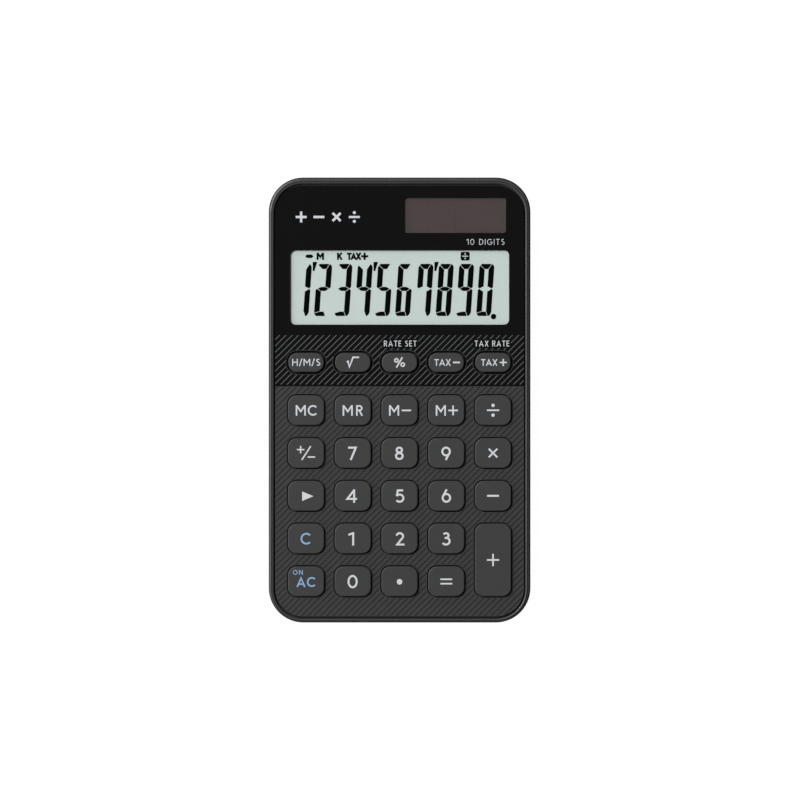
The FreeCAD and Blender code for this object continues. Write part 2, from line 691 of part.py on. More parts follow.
def cut_other_half(body, level, thickness, upper):
    """Cuts away the lower half of an upper plate or film, or the upper half of a lower one."""
    end = size.panel_end if upper else size.keypad_end
    half = size.case_length / 2
    removed = end + half if upper else half - end
    middle = end - removed / 2 if upper else end + removed / 2
    extent = (size.case_width, removed)
    return cut_block(body, "OtherHalf", level, thickness, extent, (ZERO, middle))


def make_inset_plate(label, upper):
    """A plate inset in the front case, covering its upper or its lower part."""
    body = new_body(label)
    thickness = size.plate_top - plate_bottom
    pad(body, "Plate", plate_outline(body, "Outline", plate_bottom), thickness)
    cut = cut_other_half(body, size.plate_top, thickness, upper)
    chamfer(body, "EdgeBevel", cut, edges_at(cut, size.plate_top), size.plate_edge_bevel)
    return body


def make_display_panel():
    """Gloss panel round the display, with two windows rebated from behind for their panes."""
    body = make_inset_plate("display_panel", upper=True)
    thickness = size.plate_top - plate_bottom
    rebate_top = plate_bottom + size.pane_thickness
    ledge = size.pane_ledge + size.pane_gap
    for which in ("display", "solar"):
        name = which.title()
        cut_window(body, f"{name}Window", size.plate_top, thickness, which)
        cut_window(body, f"{name}Rebate", rebate_top, size.pane_thickness, which, ledge)
    holes = cut_function_holes(body, size.plate_top, thickness)
    row_y = size.function_row.value
    reach = size.key_height.value / 2
    edges = edges_at(holes, size.plate_top, lambda edge: abs(edge.CenterOfMass.y - row_y) < reach)
    chamfer(body, "HoleBevel", holes, edges, size.function_hole_bevel)


def make_keypad_plate():
    """Plate round the lower keys, with its 24 holes and diagonal grooves."""
    body = make_inset_plate("keypad_plate_blank", upper=False)
    sub_parts.remove(body)
    cut_key_holes(body, size.plate_top, size.plate_top - plate_bottom)
    doc.recompute()
    grooves = doc.addObject("Part::Feature", "Grooves")
    grooves.Shape = groove_shape()
    plate = doc.addObject("Part::Cut", "keypad_plate")
    plate.Label = "keypad_plate"
    plate.Base = body
    plate.Tool = grooves
    sub_parts.append(plate)


def rounded_face(width, height, corner, x, y, level):
    """A flat face with round corners, for the groove field."""
    box = Part.makePlane(width, height, Vector(x - width / 2, y - height / 2, level))
    solid = box.extrude(Vector(0, 0, 1))
    upright = [e for e in solid.Edges if abs(e.tangentAt(e.FirstParameter).z) > 0.9]
    rounded = solid.makeFillet(corner, upright)
    return next(f for f in rounded.Faces if abs(f.CenterOfMass.z - level) < 1e-6)


def groove_shape():
    """The material that the grooves remove: diagonal bars clear of the edges and holes."""
    level = size.plate_top.value - size.groove_depth.value
    margin = size.groove_margin.value
    inset = plate_inset.value + margin
    half_width = size.case_width.value / 2 - inset
    length = size.case_length.value - 2 * (plate_end_inset.value + margin)
    middle_y = size.recess_y.value
    low = middle_y - length / 2
    high = size.keypad_end.value - margin
    corner = size.case_corner.value - inset
    field = rounded_face(2 * half_width, length, corner, 0, middle_y, level)
    above = Part.makePlane(2 * half_width, low + length - high, Vector(-half_width, high, level))
    holes = [
        rounded_face(
            hole_width.value + 2 * margin,
            height + 2 * margin,
            hole_corner.value + margin,
            x,
            y,
            level,
        )
        for x, y, height in lower_hole_places()
    ]
    field = field.cut(Part.makeCompound([above, *holes]))
    grooves = field.common(Part.makeCompound(diagonal_bars(half_width, low, high, level)))
    return grooves.extrude(Vector(0, 0, 2 * size.groove_depth.value))


def diagonal_bars(half_width, low, high, level):
    """Flat bars at 45 degrees, one for each groove that crosses the given rectangle."""
    pitch = size.groove_pitch.value
    width = size.groove_width.value
    reach = half_width + high - low
    first = math.ceil((low - half_width) / math.sqrt(2) / pitch)
    last = math.floor((high + half_width) / math.sqrt(2) / pitch)
    bars = []
    for number in range(first, last + 1):
        middle = number * pitch + size.groove_start.value
        bar = Part.makePlane(2 * reach, width, Vector(-reach, middle - width / 2, level))
        bar.rotate(Vector(0, 0, 0), Vector(0, 0, 1), 45)
        bars.append(bar)
    return bars


def lower_hole_places():
    """X, Y and height of each of the 24 lower key holes."""
    places = []
    for _, kind, column, row in KEYS:
        if kind == "function":
            continue
        x, y, _, height = key_geometry(kind, column, row)
        places.append((x.value, y.value, (height + size.key_clearance * 2).value))
    return places


def key_geometry(kind, column, row):
    """A key's X, Y, cap width and cap height along Y."""
    x = size.column_pitch * (column - 2)
    if kind == "function":
        return x, size.function_row, size.function_key_width, size.function_key_height
    y = size.memory_row - size.row_pitch * (row - 1)
    if kind == "tall":
        return x, y - size.row_pitch / 2, size.key_width, tall_key_height
    return x, y, size.key_width, size.key_height


def make_key(label, kind, column, row):
    """One key: a hollow cap with a retaining flange and a stem over its dome."""
    x, y, width, height = key_geometry(kind, column, row)
    corner = size.key_corner
    body = new_body(label, x, y)
    sketch = new_sketch(body, "CapSketch", size.flange_bottom)
    add_rounded_rectangle(sketch, width, height, corner)
    cap = pad(body, "Cap", sketch, size.key_top - size.flange_bottom)
    fillet(body, "CapEdge", cap, edges_at(cap, size.key_top), size.key_edge_round)
    sketch = new_sketch(body, "FlangeSketch", size.flange_bottom)
    margin = size.flange_margin
    add_rounded_rectangle(sketch, width + margin * 2, height + margin * 2, corner + margin)
    pad(body, "Flange", sketch, size.flange_thickness)
    roof = size.key_top - size.key_roof
    skirt = size.key_skirt
    sketch = new_sketch(body, "HollowSketch", roof)
    add_rounded_rectangle(sketch, width - skirt * 2, height - skirt * 2, corner - skirt)
    pocket(body, "Hollow", sketch, roof - size.flange_bottom)
    sketch = new_sketch(body, "StemSketch", size.flange_bottom)
    add_circle(sketch, size.stem_diameter)
    pad(body, "Stem", sketch, roof - size.flange_bottom)


def make_adhesive(label, upper):
    """A die-cut film under an inset plate."""
    body = new_body(label)
    margin = size.adhesive_margin
    film = size.adhesive_thickness
    pad(body, "Film", plate_outline(body, "Outline", size.deck_top, margin), film)
    cut_other_half(body, plate_bottom, film, upper)
    if upper:
        cut_function_holes(body, plate_bottom, film, margin)
        ledge = size.pane_ledge + margin
        cut_window(body, "DisplayWindow", plate_bottom, film, "display", ledge)
        cut_window(body, "SolarWindow", plate_bottom, film, "solar", ledge)
    else:
        cut_key_holes(body, plate_bottom, film, margin)


def make_pane(label, width, height, corner, x, y):
    """A clear pane, seated in a window's rebate."""
    body = new_body(label, x, y)
    sketch = new_sketch(body, "PaneSketch", plate_bottom)
    ledge = size.pane_ledge
    add_rounded_rectangle(sketch, width + ledge * 2, height + ledge * 2, corner + ledge)
    pad(body, "Pane", sketch, size.pane_thickness)


def make_block(label, extent, middle, bottom, count=1):
    """A plain rectangular piece, or a row of equal ones to the right of its middle."""
    width, height, thickness = extent
    body = new_body(label, *middle)
    sketch = new_sketch(body, "BlockSketch", bottom)
    add_rectangle(sketch, width, height)
    block = pad(body, "Block", sketch, thickness)
    if count > 1:
        body.AllowCompound = True
        pattern = body.newObject("PartDesign::LinearPattern", "Row")
        pattern.Originals = [block]
        pattern.Direction = (sketch, ["H_Axis"])
        bind(pattern, "Length", size.chip_spacing * (count - 1))
        pattern.Occurrences = count
        body.Tip = pattern


def make_display():
    """The liquid crystal display: two glasses, two polarizers, holder and contact strip."""
    width = size.lcd_glass_width
    height = size.lcd_glass_height
    glass = size.lcd_glass_thickness
    film = size.polarizer_thickness
    trim = size.polarizer_margin * 2
    centre = (ZERO, size.lcd_y)
    rear_centre = (ZERO, rear_glass_y)
    rear_bottom = lcd_glass_bottom - glass
    make_block("lcd_front_glass", (width, height, glass), centre, lcd_glass_bottom)
    make_block("lcd_rear_glass", (width, rear_glass_height, glass), rear_centre, rear_bottom)
    front_film = (width - trim, height - trim, film)
    make_block("lcd_front_polarizer", front_film, centre, size.lcd_top - film)
    rear_film = (width - trim, rear_glass_height - trim, film)
    make_block("lcd_rear_polarizer", rear_film, rear_centre, lcd_rear_bottom)
    holder = new_body("lcd_holder", ZERO, rear_glass_y)
    sketch = new_sketch(holder, "HolderSketch", board_top)
    inset = size.holder_inset * 2
    outer_width, outer_height = (width - inset, rear_glass_height - inset)
    add_rectangle(sketch, outer_width, outer_height)
    wall = size.holder_wall * 2
    add_rectangle(sketch, outer_width - wall, outer_height - wall)
    pad(holder, "Frame", sketch, lcd_rear_bottom - board_top)
    strip_y = lcd_glass_start + size.lcd_ledge / 2
    strip = (size.strip_length, size.strip_width, lcd_glass_bottom - board_top)
    make_block("lcd_contact_strip", strip, (ZERO, strip_y), board_top)


def make_solar_cell():
    """The solar cell, the foam behind it and its two leads."""
    centre = (size.solar_x, size.solar_y)
    cell_extent = (solar_cell_width, solar_cell_height, size.solar_cell_thickness)
    make_block("solar_cell", cell_extent, centre, solar_cell_bottom)
    trim = size.solar_pad_margin * 2
    foam = size.solar_pad_thickness
    pad_extent = (solar_cell_width - trim, solar_cell_height - trim, foam)
    make_block("solar_cell_pad", pad_extent, centre, solar_cell_bottom - foam)
    make_wire("solar_wire_red", size.wire_x)
    make_wire("solar_wire_black", size.wire_x + size.wire_spacing)


def make_wire(label, x):
    """A lead from the back of the solar cell down to the circuit board."""
    body = new_body(label, x)
    start_y = size.solar_y - solar_cell_height / 2 + size.wire_diameter
    end_y = size.board_end - size.wire_diameter
    path = new_sketch(body, "Path", ZERO, "YZ_Plane")
    add_wire_path(path, start_y, solar_cell_bottom, end_y, board_top, size.wire_run)
    section = new_sketch(body, "Section", board_top)
    add_circle(section, size.wire_diameter, ZERO, end_y)
    pipe = body.newObject("PartDesign::AdditivePipe", "Wire")
    pipe.Profile = section
    pipe.Spine = (path, [])


def add_wire_path(sketch, start_y, start_z, end_y, end_z, run):
    """An upright, a level run and an upright, joined by two quarter bends."""
    bend = size.wire_bend
    half_turn = math.pi / 2
    up = Vector(0, 0, 1)
    low = (end_y + bend, run - bend)
    high = (start_y - bend, run + bend)
    points = [
        (Vector(end_y.value, end_z.value), Vector(end_y.value, low[1].value)),
        (Vector(low[0].value, run.value), Vector(high[0].value, run.value)),
        (Vector(start_y.value, high[1].value), Vector(start_y.value, start_z.value)),
    ]
    for start, end in points:
        sketch.addGeometry(Part.LineSegment(start, end))
    low_circle = Part.Circle(Vector(low[0].value, low[1].value), up, bend.value)
    sketch.addGeometry(Part.ArcOfCircle(low_circle, half_turn, 2 * half_turn))
    high_circle = Part.Circle(Vector(high[0].value, high[1].value), up, bend.value)
    sketch.addGeometry(Part.ArcOfCircle(high_circle, -half_turn, 0))
    constrain(sketch, "Tangent", 0, 2, 3, 2)
    constrain(sketch, "Tangent", 3, 1, 1, 1)
    constrain(sketch, "Tangent", 1, 2, 4, 1)
    constrain(sketch, "Tangent", 4, 2, 2, 1)
    constrain(sketch, "Vertical", 0)
    constrain(sketch, "Horizontal", 1)
    constrain(sketch, "Vertical", 2)
    constrain(sketch, "Equal", 3, 4)
    constrain(sketch, "Radius", 3, bend)
    constrain(sketch, "DistanceX", -1, 1, 0, 1, end_y)
    constrain(sketch, "DistanceY", -1, 1, 0, 1, end_z)
    constrain(sketch, "DistanceX", -1, 1, 2, 2, start_y)
    constrain(sketch, "DistanceY", -1, 1, 2, 2, start_z)
    constrain(sketch, "DistanceY", -1, 1, 1, 1, run)


def make_board():
    """The circuit board, cut away round the case screw bosses and drilled for its screws."""
    length = size.board_end - size.board_start
    body = new_body("main_board")
    sketch = new_sketch(body, "BoardSketch", size.board_bottom)
    middle = (size.board_end + size.board_start) / 2
    add_rounded_rectangle(sketch, size.board_width, length, size.board_corner, ZERO, middle)
    pad(body, "Board", sketch, size.board_thickness)
    notch = size.boss_diameter + size.cradle_gap * 2
    notches = circles(body, "NotchCircles", board_top, case_screw_places, notch)
    pocket(body, "Notches", notches, size.board_thickness)
    passage = size.board_screw_diameter + size.passage_clearance
    holes = circles(body, "HoleCircles", board_top, board_screw_places, passage)
    pocket(body, "ScrewHoles", holes, size.board_thickness)


def make_small_parts():
    """The chip under its epoxy drop, and the small parts beside it on the board."""
    blob = new_body("processor_blob", size.blob_x, size.blob_y)
    sketch = circles(blob, "BlobCircle", board_top, [(ZERO, ZERO)], size.blob_diameter)
    drop = pad(blob, "Drop", sketch, size.blob_height)
    fillet(blob, "DropEdge", drop, edges_at(drop, board_top + size.blob_height), size.blob_round)
    chip = (size.chip_length, size.chip_width)
    capacitor = (*chip, size.capacitor_thickness)
    make_block("chip_capacitors", capacitor, (size.chips_x, size.capacitors_y), board_top, 3)
    resistor = (*chip, size.resistor_thickness)
    make_block("chip_resistors", resistor, (size.chips_x, size.resistors_y), board_top, 4)
    diode = (size.diode_length, size.diode_width, size.diode_thickness)
    make_block("blocking_diode", diode, (size.chips_x, size.diode_y), board_top)


def make_dome_sheet():
    """One rubber sheet with a hollow dome under every key."""
    body = new_body("rubber_dome_sheet")
    length = size.sheet_end - size.sheet_start
    middle = (size.sheet_end + size.sheet_start) / 2
    sketch = new_sketch(body, "SheetSketch", board_top)
    add_rounded_rectangle(sketch, size.sheet_width, length, size.sheet_corner, ZERO, middle)
    pad(body, "Sheet", sketch, size.sheet_thickness)
    lower_bosses = [place for place in board_screw_places if place[1].value < size.sheet_end.value]
    for name, places, boss in (
        ("Board", lower_bosses, size.board_boss_diameter),
        ("Case", case_screw_places, size.boss_diameter),
    ):
        opening = boss + size.cradle_gap * 2
        openings = circles(body, f"{name}BossCircles", sheet_top, places, opening)
        pocket(body, f"{name}BossOpenings", openings, size.sheet_thickness)
    groups = (
        ("Left", first_column, size.memory_row, 4, 5),
        ("Right", last_column, size.memory_row, 1, 3),
        ("Tall", last_column, tall_key_row, 1, 1),
        ("Function", first_column, size.function_row, 5, 1),
    )
    rise = size.dome_top - sheet_top
    taper = lean_angle(size.dome_base_diameter, size.dome_top_diameter, rise)
    for name, x, y, columns, rows in groups:
        sketch = circles(body, f"{name}DomeCircle", sheet_top, [(x, y)], size.dome_base_diameter)
        dome = pad(body, f"{name}Dome", sketch, rise, taper=-taper)
        repeat(body, f"{name}Domes", dome, columns, rows)
    hollow_base = size.dome_base_diameter - size.dome_wall * 2
    hollow_rise = size.key_travel + size.dome_spare
    taper = lean_angle(hollow_base, size.dome_hollow_top, hollow_rise)
    for name, x, y, columns, rows in groups:
        sketch = circles(body, f"{name}HollowCircle", board_top, [(x, y)], hollow_base)
        hollow = pocket(body, f"{name}Hollow", sketch, hollow_rise, upwards=True, taper=-taper)
        repeat(body, f"{name}Hollows", hollow, columns, rows)


def lean_angle(base, top, rise):
    """How far from upright, in degrees, a cone's side leans between two diameters."""
    return math.degrees(math.atan2((base.value - top.value) / 2, rise.value))


def make_screws(label, places, seat, head, head_height, thread, reach):
    """A set of equal screws with their heads towards the back."""
    body = new_body(label)
    body.AllowCompound = True
    head_bottom = seat - head_height
    pad(body, "Heads", circles(body, "HeadCircles", head_bottom, places, head), head_height)
    shanks = pad(body, "Shanks", circles(body, "ShankCircles", seat, places, thread), reach - seat)
    chamfer(body, "Tips", shanks, edges_at(shanks, reach), thread / 4)
    length = head - size.drive_width * 2
    for name, width, height in (
        ("SlotAcross", length, size.drive_width),
        ("SlotUpright", size.drive_width, length),
    ):
        sketch = new_sketch(body, f"{name}Sketch", head_bottom + size.drive_depth)
        for x, y in places:
            add_rectangle(sketch, width, height, x, y)
        pocket(body, name, sketch, size.drive_depth)


def make_button_cell():
    """The button cell, can towards the back and negative cap towards the front."""
    body = new_body("button_cell", size.cell_x, size.cell_y)
    can_height = size.cell_height - size.cell_cap_height
    sketch = circles(body, "CanCircle", size.cell_bottom, [(ZERO, ZERO)], size.cell_diameter)
    can = pad(body, "Can", sketch, can_height)
    can_top = size.cell_bottom + can_height
    edges = edges_at(can, size.cell_bottom) + edges_at(can, can_top)
    fillet(body, "CanEdges", can, edges, size.cell_rim_round)
    sketch = circles(body, "CapCircle", can_top, [(ZERO, ZERO)], size.cell_cap_diameter)
    pad(body, "Cap", sketch, size.cell_cap_height)


def make_contacts():
    """The two sheet metal contacts of the button cell."""
    metal = size.contact_thickness
    cell_top = size.cell_bottom + size.cell_height
    foot_start = size.board_end - size.strip_width
    leg = size.board_end - metal * 2
    negative = new_body("battery_negative_contact", size.cell_x)
    profile = new_sketch(negative, "Profile", ZERO, "YZ_Plane")
    add_polyline(
        profile,
        [
            (foot_start, board_top),
            (leg, board_top),
            (leg, cell_top),
            (size.cell_y, cell_top),
            (size.cell_y, cell_top + metal),
            (leg - metal, cell_top + metal),
            (leg - metal, board_top + metal),
            (foot_start, board_top + metal),
        ],
    )
    pad(negative, "Strip", profile, size.contact_width, midplane=True)
    cell_side = size.cell_x + size.cell_diameter / 2
    positive = new_body("battery_positive_contact", cell_side)
    blade_end = size.cell_y + size.cradle_gap
    sketch = new_sketch(positive, "BladeSketch", board_top)
    blade_length = blade_end - foot_start
    add_rectangle(sketch, metal, blade_length, metal / 2, (blade_end + foot_start) / 2)
    pad(positive, "Blade", sketch, size.strip_width)
    sketch = new_sketch(positive, "FootSketch", board_top)
    foot_width = size.strip_width
    foot_y = (foot_start + leg) / 2
    add_rectangle(sketch, foot_width, leg - foot_start, foot_width / 2, foot_y)
    pad(positive, "Foot", sketch, metal)


def check_model():
    """Stops if any object failed or any piece isn't a sound solid."""
    doc.recompute()
    for thing in doc.Objects:
        if "Invalid" in thing.State or "Error" in thing.State:
            raise SystemExit(f"{thing.Name} failed: {thing.State}")
    for piece in sub_parts:
        if piece.Shape.isNull() or not piece.Shape.isValid() or not piece.Shape.Solids:
            raise SystemExit(f"{piece.Label} isn't a sound solid")


def write_pieces():
    """Writes each piece to its own STEP file."""
    os.makedirs("parts", exist_ok=True)
    for piece in sub_parts:
        piece.Shape.exportStep(f"parts/{piece.Label}.step")


make_rear_case()
make_front_case()
make_display_panel()
make_keypad_plate()
make_adhesive("display_panel_adhesive", upper=True)
make_adhesive("keypad_plate_adhesive", upper=False)
make_pane(
    "lcd_window",
    size.lcd_window_width,
    size.lcd_window_height,
    size.lcd_window_corner,
    ZERO,
    size.lcd_y,
)
make_pane(
    "solar_window",
    size.solar_window_width,
    size.solar_window_height,
    size.solar_window_corner,
    size.solar_x,
    size.solar_y,
)
make_display()
make_solar_cell()
make_board()
make_small_parts()
make_dome_sheet()
make_button_cell()
make_contacts()
make_screws(
    "case_screws",
    case_screw_places,
    size.case_screw_recess + size.case_screw_head_height,
    size.case_screw_head,
    size.case_screw_head_height,
    size.case_screw_diameter,
    size.case_screw_reach,
)
make_screws(
    "board_screws",
    board_screw_places,
    size.board_bottom,
    size.board_screw_head,
    size.board_screw_head_height,
    size.board_screw_diameter,
    size.board_screw_reach,
)
for name, kind, column, row in KEYS:
    make_key(name, kind, column, row)
check_model()
write_pieces()
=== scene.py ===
import math

import bpy
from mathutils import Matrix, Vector
from mathutils.geometry import delaunay_2d_cdt


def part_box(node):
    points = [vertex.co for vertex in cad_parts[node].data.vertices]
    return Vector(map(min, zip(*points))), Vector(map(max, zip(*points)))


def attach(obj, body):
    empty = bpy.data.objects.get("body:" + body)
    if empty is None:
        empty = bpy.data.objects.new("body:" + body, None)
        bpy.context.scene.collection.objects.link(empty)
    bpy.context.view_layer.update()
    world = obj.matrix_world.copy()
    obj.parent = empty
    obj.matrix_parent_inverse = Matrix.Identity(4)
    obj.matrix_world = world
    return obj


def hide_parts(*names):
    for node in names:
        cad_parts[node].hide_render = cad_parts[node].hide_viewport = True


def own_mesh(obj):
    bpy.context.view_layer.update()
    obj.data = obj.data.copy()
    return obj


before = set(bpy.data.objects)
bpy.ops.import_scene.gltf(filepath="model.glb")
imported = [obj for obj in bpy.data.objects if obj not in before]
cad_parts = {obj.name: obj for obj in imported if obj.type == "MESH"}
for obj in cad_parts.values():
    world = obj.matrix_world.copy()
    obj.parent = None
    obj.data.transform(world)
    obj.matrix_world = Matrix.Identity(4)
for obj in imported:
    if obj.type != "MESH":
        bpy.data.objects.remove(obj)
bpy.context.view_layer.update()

# The looks of a pocket calculator. Lengths are millimetres until a mesh or an object is made,
# which is in metres.
MM = 0.001


def box_mm(node):
    """Lowest and highest corners of a CAD node, in millimetres."""
    low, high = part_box(node)
    return low / MM, high / MM


def middle_mm(node):
    """The middle of a CAD node's box, in millimetres."""
    low, high = box_mm(node)
    return (low + high) / 2


KEY_NODES = sorted(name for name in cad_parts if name.startswith("key_"))
PANEL_TOP = box_mm("display_panel")[1].z
LCD_TOP = box_mm("lcd_front_polarizer")[1].z

# A print stands a hair above its surface and starts a hair below it.
PRINT_THICKNESS = 0.02
PRINT_SINK = 0.01


# Materials -------------------------------------------------------------------------------

BLACK = (0.0, 0.0, 0.0)
WHITE = (1.0, 1.0, 1.0)
PANE_IOR = 1.49

# A moulded face has this many grains to a millimetre. Its colour and roughness vary by this.
SATIN_GRAIN = 9.0
SATIN_SPREAD = 0.06

# Painted shade: a crevice narrower than the reach is painted dark, by a power of how open it is.
PAINTED_SHADE_REACH = 0.35
PAINTED_SHADE_CONTRAST = 2.0

# Shade is painted into a groove from this far below the plate's face, and deepens over 1 / contrast.
GROOVE_SHADE_START = 0.02
GROOVE_SHADE_CONTRAST = 30.0

SOLAR_STRIPS = 4
SOLAR_LINE = 0.05

FLOOR_GREY = (0.1, 0.1, 0.1)
FLOOR_GLOW = 0.98


class Nodes:
    """A short way to build a material's node tree."""

    def __init__(self, name):
        self.material = bpy.data.materials.new(name)
        self.material.use_nodes = True
        self.tree = self.material.node_tree
        self.tree.nodes.clear()
        self.output = self.tree.nodes.new("ShaderNodeOutputMaterial")
        coordinates = self.tree.nodes.new("ShaderNodeTexCoord")
        scale = self.add("ShaderNodeVectorMath", operation="SCALE")
        self.link(coordinates.outputs["Object"], scale.inputs[0])
        scale.inputs["Scale"].default_value = 1 / MM
        self.place = scale.outputs[0]

    def add(self, kind, **settings):
        """A new node with its settings."""
        node = self.tree.nodes.new(kind)
        for name, value in settings.items():
            setattr(node, name, value)
        return node

    def link(self, source, target):
        """Joins an output to an input."""
        self.tree.links.new(source, target)

    def noise(self, scale, detail=2.0, stretch=None):
        """Noise with its scale in features per millimetre."""
        node = self.add("ShaderNodeTexNoise")
        node.inputs["Scale"].default_value = scale
        node.inputs["Detail"].default_value = detail
        place = self.place
        if stretch:
            mapping = self.add("ShaderNodeMapping")
            mapping.inputs["Scale"].default_value = stretch
            self.link(place, mapping.inputs["Vector"])
            place = mapping.outputs[0]
        self.link(place, node.inputs["Vector"])
        return node.outputs["Fac"]

    def between(self, value, low, high):
        """Maps a value from 0..1 to low..high."""
        node = self.add("ShaderNodeMapRange")
        node.inputs["To Min"].default_value = low
        node.inputs["To Max"].default_value = high
        self.link(value, node.inputs["Value"])
        return node.outputs["Result"]

    def math(self, operation, first, second):
        """The result of an operation on two values, each a number or an output."""
        node = self.add("ShaderNodeMath", operation=operation)
        for socket, value in zip(node.inputs, (first, second)):
            if isinstance(value, (int, float)):
                socket.default_value = value
            else:
                self.link(value, socket)
        return node.outputs[0]

    def axis(self, name):
        """One coordinate of the place, in millimetres."""
        node = self.add("ShaderNodeSeparateXYZ")
        self.link(self.place, node.inputs[0])
        return node.outputs[name]

    def painted_light_factor(self, reach):
        """Painted shade: 1 on an open surface, towards 0 in crevices narrower than reach, in
        millimetres.
        """
        node = self.add("ShaderNodeAmbientOcclusion", samples=8)
        node.inputs["Distance"].default_value = reach * MM
        return self.math("POWER", node.outputs["AO"], PAINTED_SHADE_CONTRAST)

    def mix_colours(self, factor, first, second):
        """Goes from the first colour to the second as the factor goes from 0 to 1."""
        node = self.add("ShaderNodeMix", data_type="RGBA")
        self.link(factor, node.inputs["Factor"])
        for name, colour in (("A", first), ("B", second)):
            socket = [s for s in node.inputs if s.name == name and s.type == "RGBA"][0]
            if isinstance(colour, tuple):
                socket.default_value = (*colour, 1)
            else:
                self.link(colour, socket)
        return [s for s in node.outputs if s.type == "RGBA"][0]

    def bump(self, height, distance):
        """A bump normal from a 0..1 height, distance in millimetres."""
        node = self.add("ShaderNodeBump")
        node.inputs["Distance"].default_value = distance * MM
        self.link(height, node.inputs["Height"])
        return node.outputs["Normal"]

    def surface(self, **inputs):
        """The Principled shader. Underscores in names stand for spaces."""
        shader = self.add("ShaderNodeBsdfPrincipled")
        for name, value in inputs.items():
            socket = shader.inputs[name.replace("_", " ")]
            if isinstance(value, tuple):
                socket.default_value = (*value, 1)
            elif isinstance(value, (int, float)):
                socket.default_value = value
            else:
                self.link(value, socket)
        self.link(shader.outputs[0], self.output.inputs["Surface"])
        return shader


def shades(colour, amount):
    """A darker and a lighter version of a colour."""
    return tuple(c * (1 - amount) for c in colour), tuple(c * (1 + amount) for c in colour)


def satin(m, colour, roughness, grain=SATIN_GRAIN):
    """The inputs of a satin moulded face with a fine spark-eroded grain."""
    cloud = m.noise(0.35, detail=3)
    fine = m.noise(grain, detail=4)
    dark, light = shades(colour, SATIN_SPREAD)
    return {
        "Base_Color": m.mix_colours(cloud, dark, light),
        "Roughness": m.between(fine, roughness - SATIN_SPREAD, roughness + SATIN_SPREAD),
        "Normal": m.bump(fine, 0.004),
    }


def moulded_plastic(name, colour, roughness, grain=SATIN_GRAIN, specular=0.4):
    """Satin injection-moulded plastic."""
    m = Nodes(name)
    m.surface(**satin(m, colour, roughness, grain), Specular_IOR_Level=specular)
    return m.material


def case_plastic(name, colour, roughness, specular):
    """Moulded plastic with painted shade in the rim line's crevice and in the joint round the plates.
    """
    m = Nodes(name)
    face = satin(m, colour, roughness)
    # Painted shade: crevices go towards black, and their shine fades with them.
    painted_light_factor = m.painted_light_factor(PAINTED_SHADE_REACH)
    face["Base_Color"] = m.mix_colours(painted_light_factor, BLACK, face["Base_Color"])
    m.surface(**face, Specular_IOR_Level=m.math("MULTIPLY", painted_light_factor, specular))
    return m.material


def gloss_plastic(name, colour, roughness=0.09):
    """Polished plastic with a faint orange-peel waviness."""
    m = Nodes(name)
    wave = m.noise(0.8, detail=1)
    speck = m.noise(14.0)
    dark, light = shades(colour, 0.1)
    m.surface(
        Base_Color=m.mix_colours(speck, dark, light),
        Roughness=m.between(speck, roughness - 0.02, roughness + 0.03),
        Specular_IOR_Level=0.5,
        Normal=m.bump(wave, 0.003),
    )
    return m.material


def grooved_plastic(name, colour, groove_shade_colour, roughness, specular):
    """Moulded plastic with shade painted into its engraved grooves, darker than the face."""
    m = Nodes(name)
    face = satin(m, colour, roughness)
    # Painted shade: below the face the colour turns to the groove's shade colour.
    depth = m.math("SUBTRACT", PANEL_TOP - GROOVE_SHADE_START, m.axis("Z"))
    groove_shade_mask = m.add("ShaderNodeClamp")
    m.link(m.math("MULTIPLY", depth, GROOVE_SHADE_CONTRAST), groove_shade_mask.inputs["Value"])
    face["Base_Color"] = m.mix_colours(groove_shade_mask.outputs[0], face["Base_Color"], groove_shade_colour)
    m.surface(**face, Specular_IOR_Level=specular)
    return m.material


def printed_ink(name, colour, roughness=0.55, specular=0.3):
    """Screen-printed ink with a slightly uneven film."""
    m = Nodes(name)
    film = m.noise(11.0, detail=3)
    dark, light = shades(colour, 0.05)
    m.surface(
        Base_Color=m.mix_colours(film, dark, light),
        Roughness=m.between(film, roughness - 0.05, roughness + 0.05),
        Specular_IOR_Level=specular,
        Normal=m.bump(film, 0.002),
    )
    return m.material


def clear_pane(name):
    """A clear pane: see-through, with a mirror reflection that grows at a slant."""
    m = Nodes(name)
    see = m.add("ShaderNodeBsdfTransparent")
    see.inputs[0].default_value = (0.97, 0.985, 0.98, 1)
    shine = m.add("ShaderNodeBsdfGlossy")
    shine.inputs["Roughness"].default_value = 0.04
    m.link(m.bump(m.noise(0.6, detail=1), 0.002), shine.inputs["Normal"])
    fresnel = m.add("ShaderNodeFresnel")
    fresnel.inputs["IOR"].default_value = PANE_IOR
    side = m.add("ShaderNodeNewGeometry")
    outside = m.math("SUBTRACT", 1.0, side.outputs["Backfacing"])
    mix = m.add("ShaderNodeMixShader")
    m.link(m.math("MULTIPLY", fresnel.outputs[0], outside), mix.inputs["Fac"])
    m.link(see.outputs[0], mix.inputs[1])
    m.link(shine.outputs[0], mix.inputs[2])
    m.link(mix.outputs[0], m.output.inputs["Surface"])
    return m.material


def display_film(name, colour, cloud_colour):
    """The display's polarizer over its silvery reflector, with a faint fibrous sparkle."""
    m = Nodes(name)
    fibres = m.noise(6.0, detail=3, stretch=(1.0, 0.12, 1.0))
    cloud = m.between(m.noise(0.05, detail=1), 0.0, 0.1)
    dark, light = shades(colour, 0.012)
    m.surface(
        Base_Color=m.mix_colours(cloud, m.mix_colours(fibres, dark, light), cloud_colour),
        Roughness=m.between(fibres, 0.42, 0.5),
        Specular_IOR_Level=0.1,
        Normal=m.bump(fibres, 0.001),
    )
    return m.material


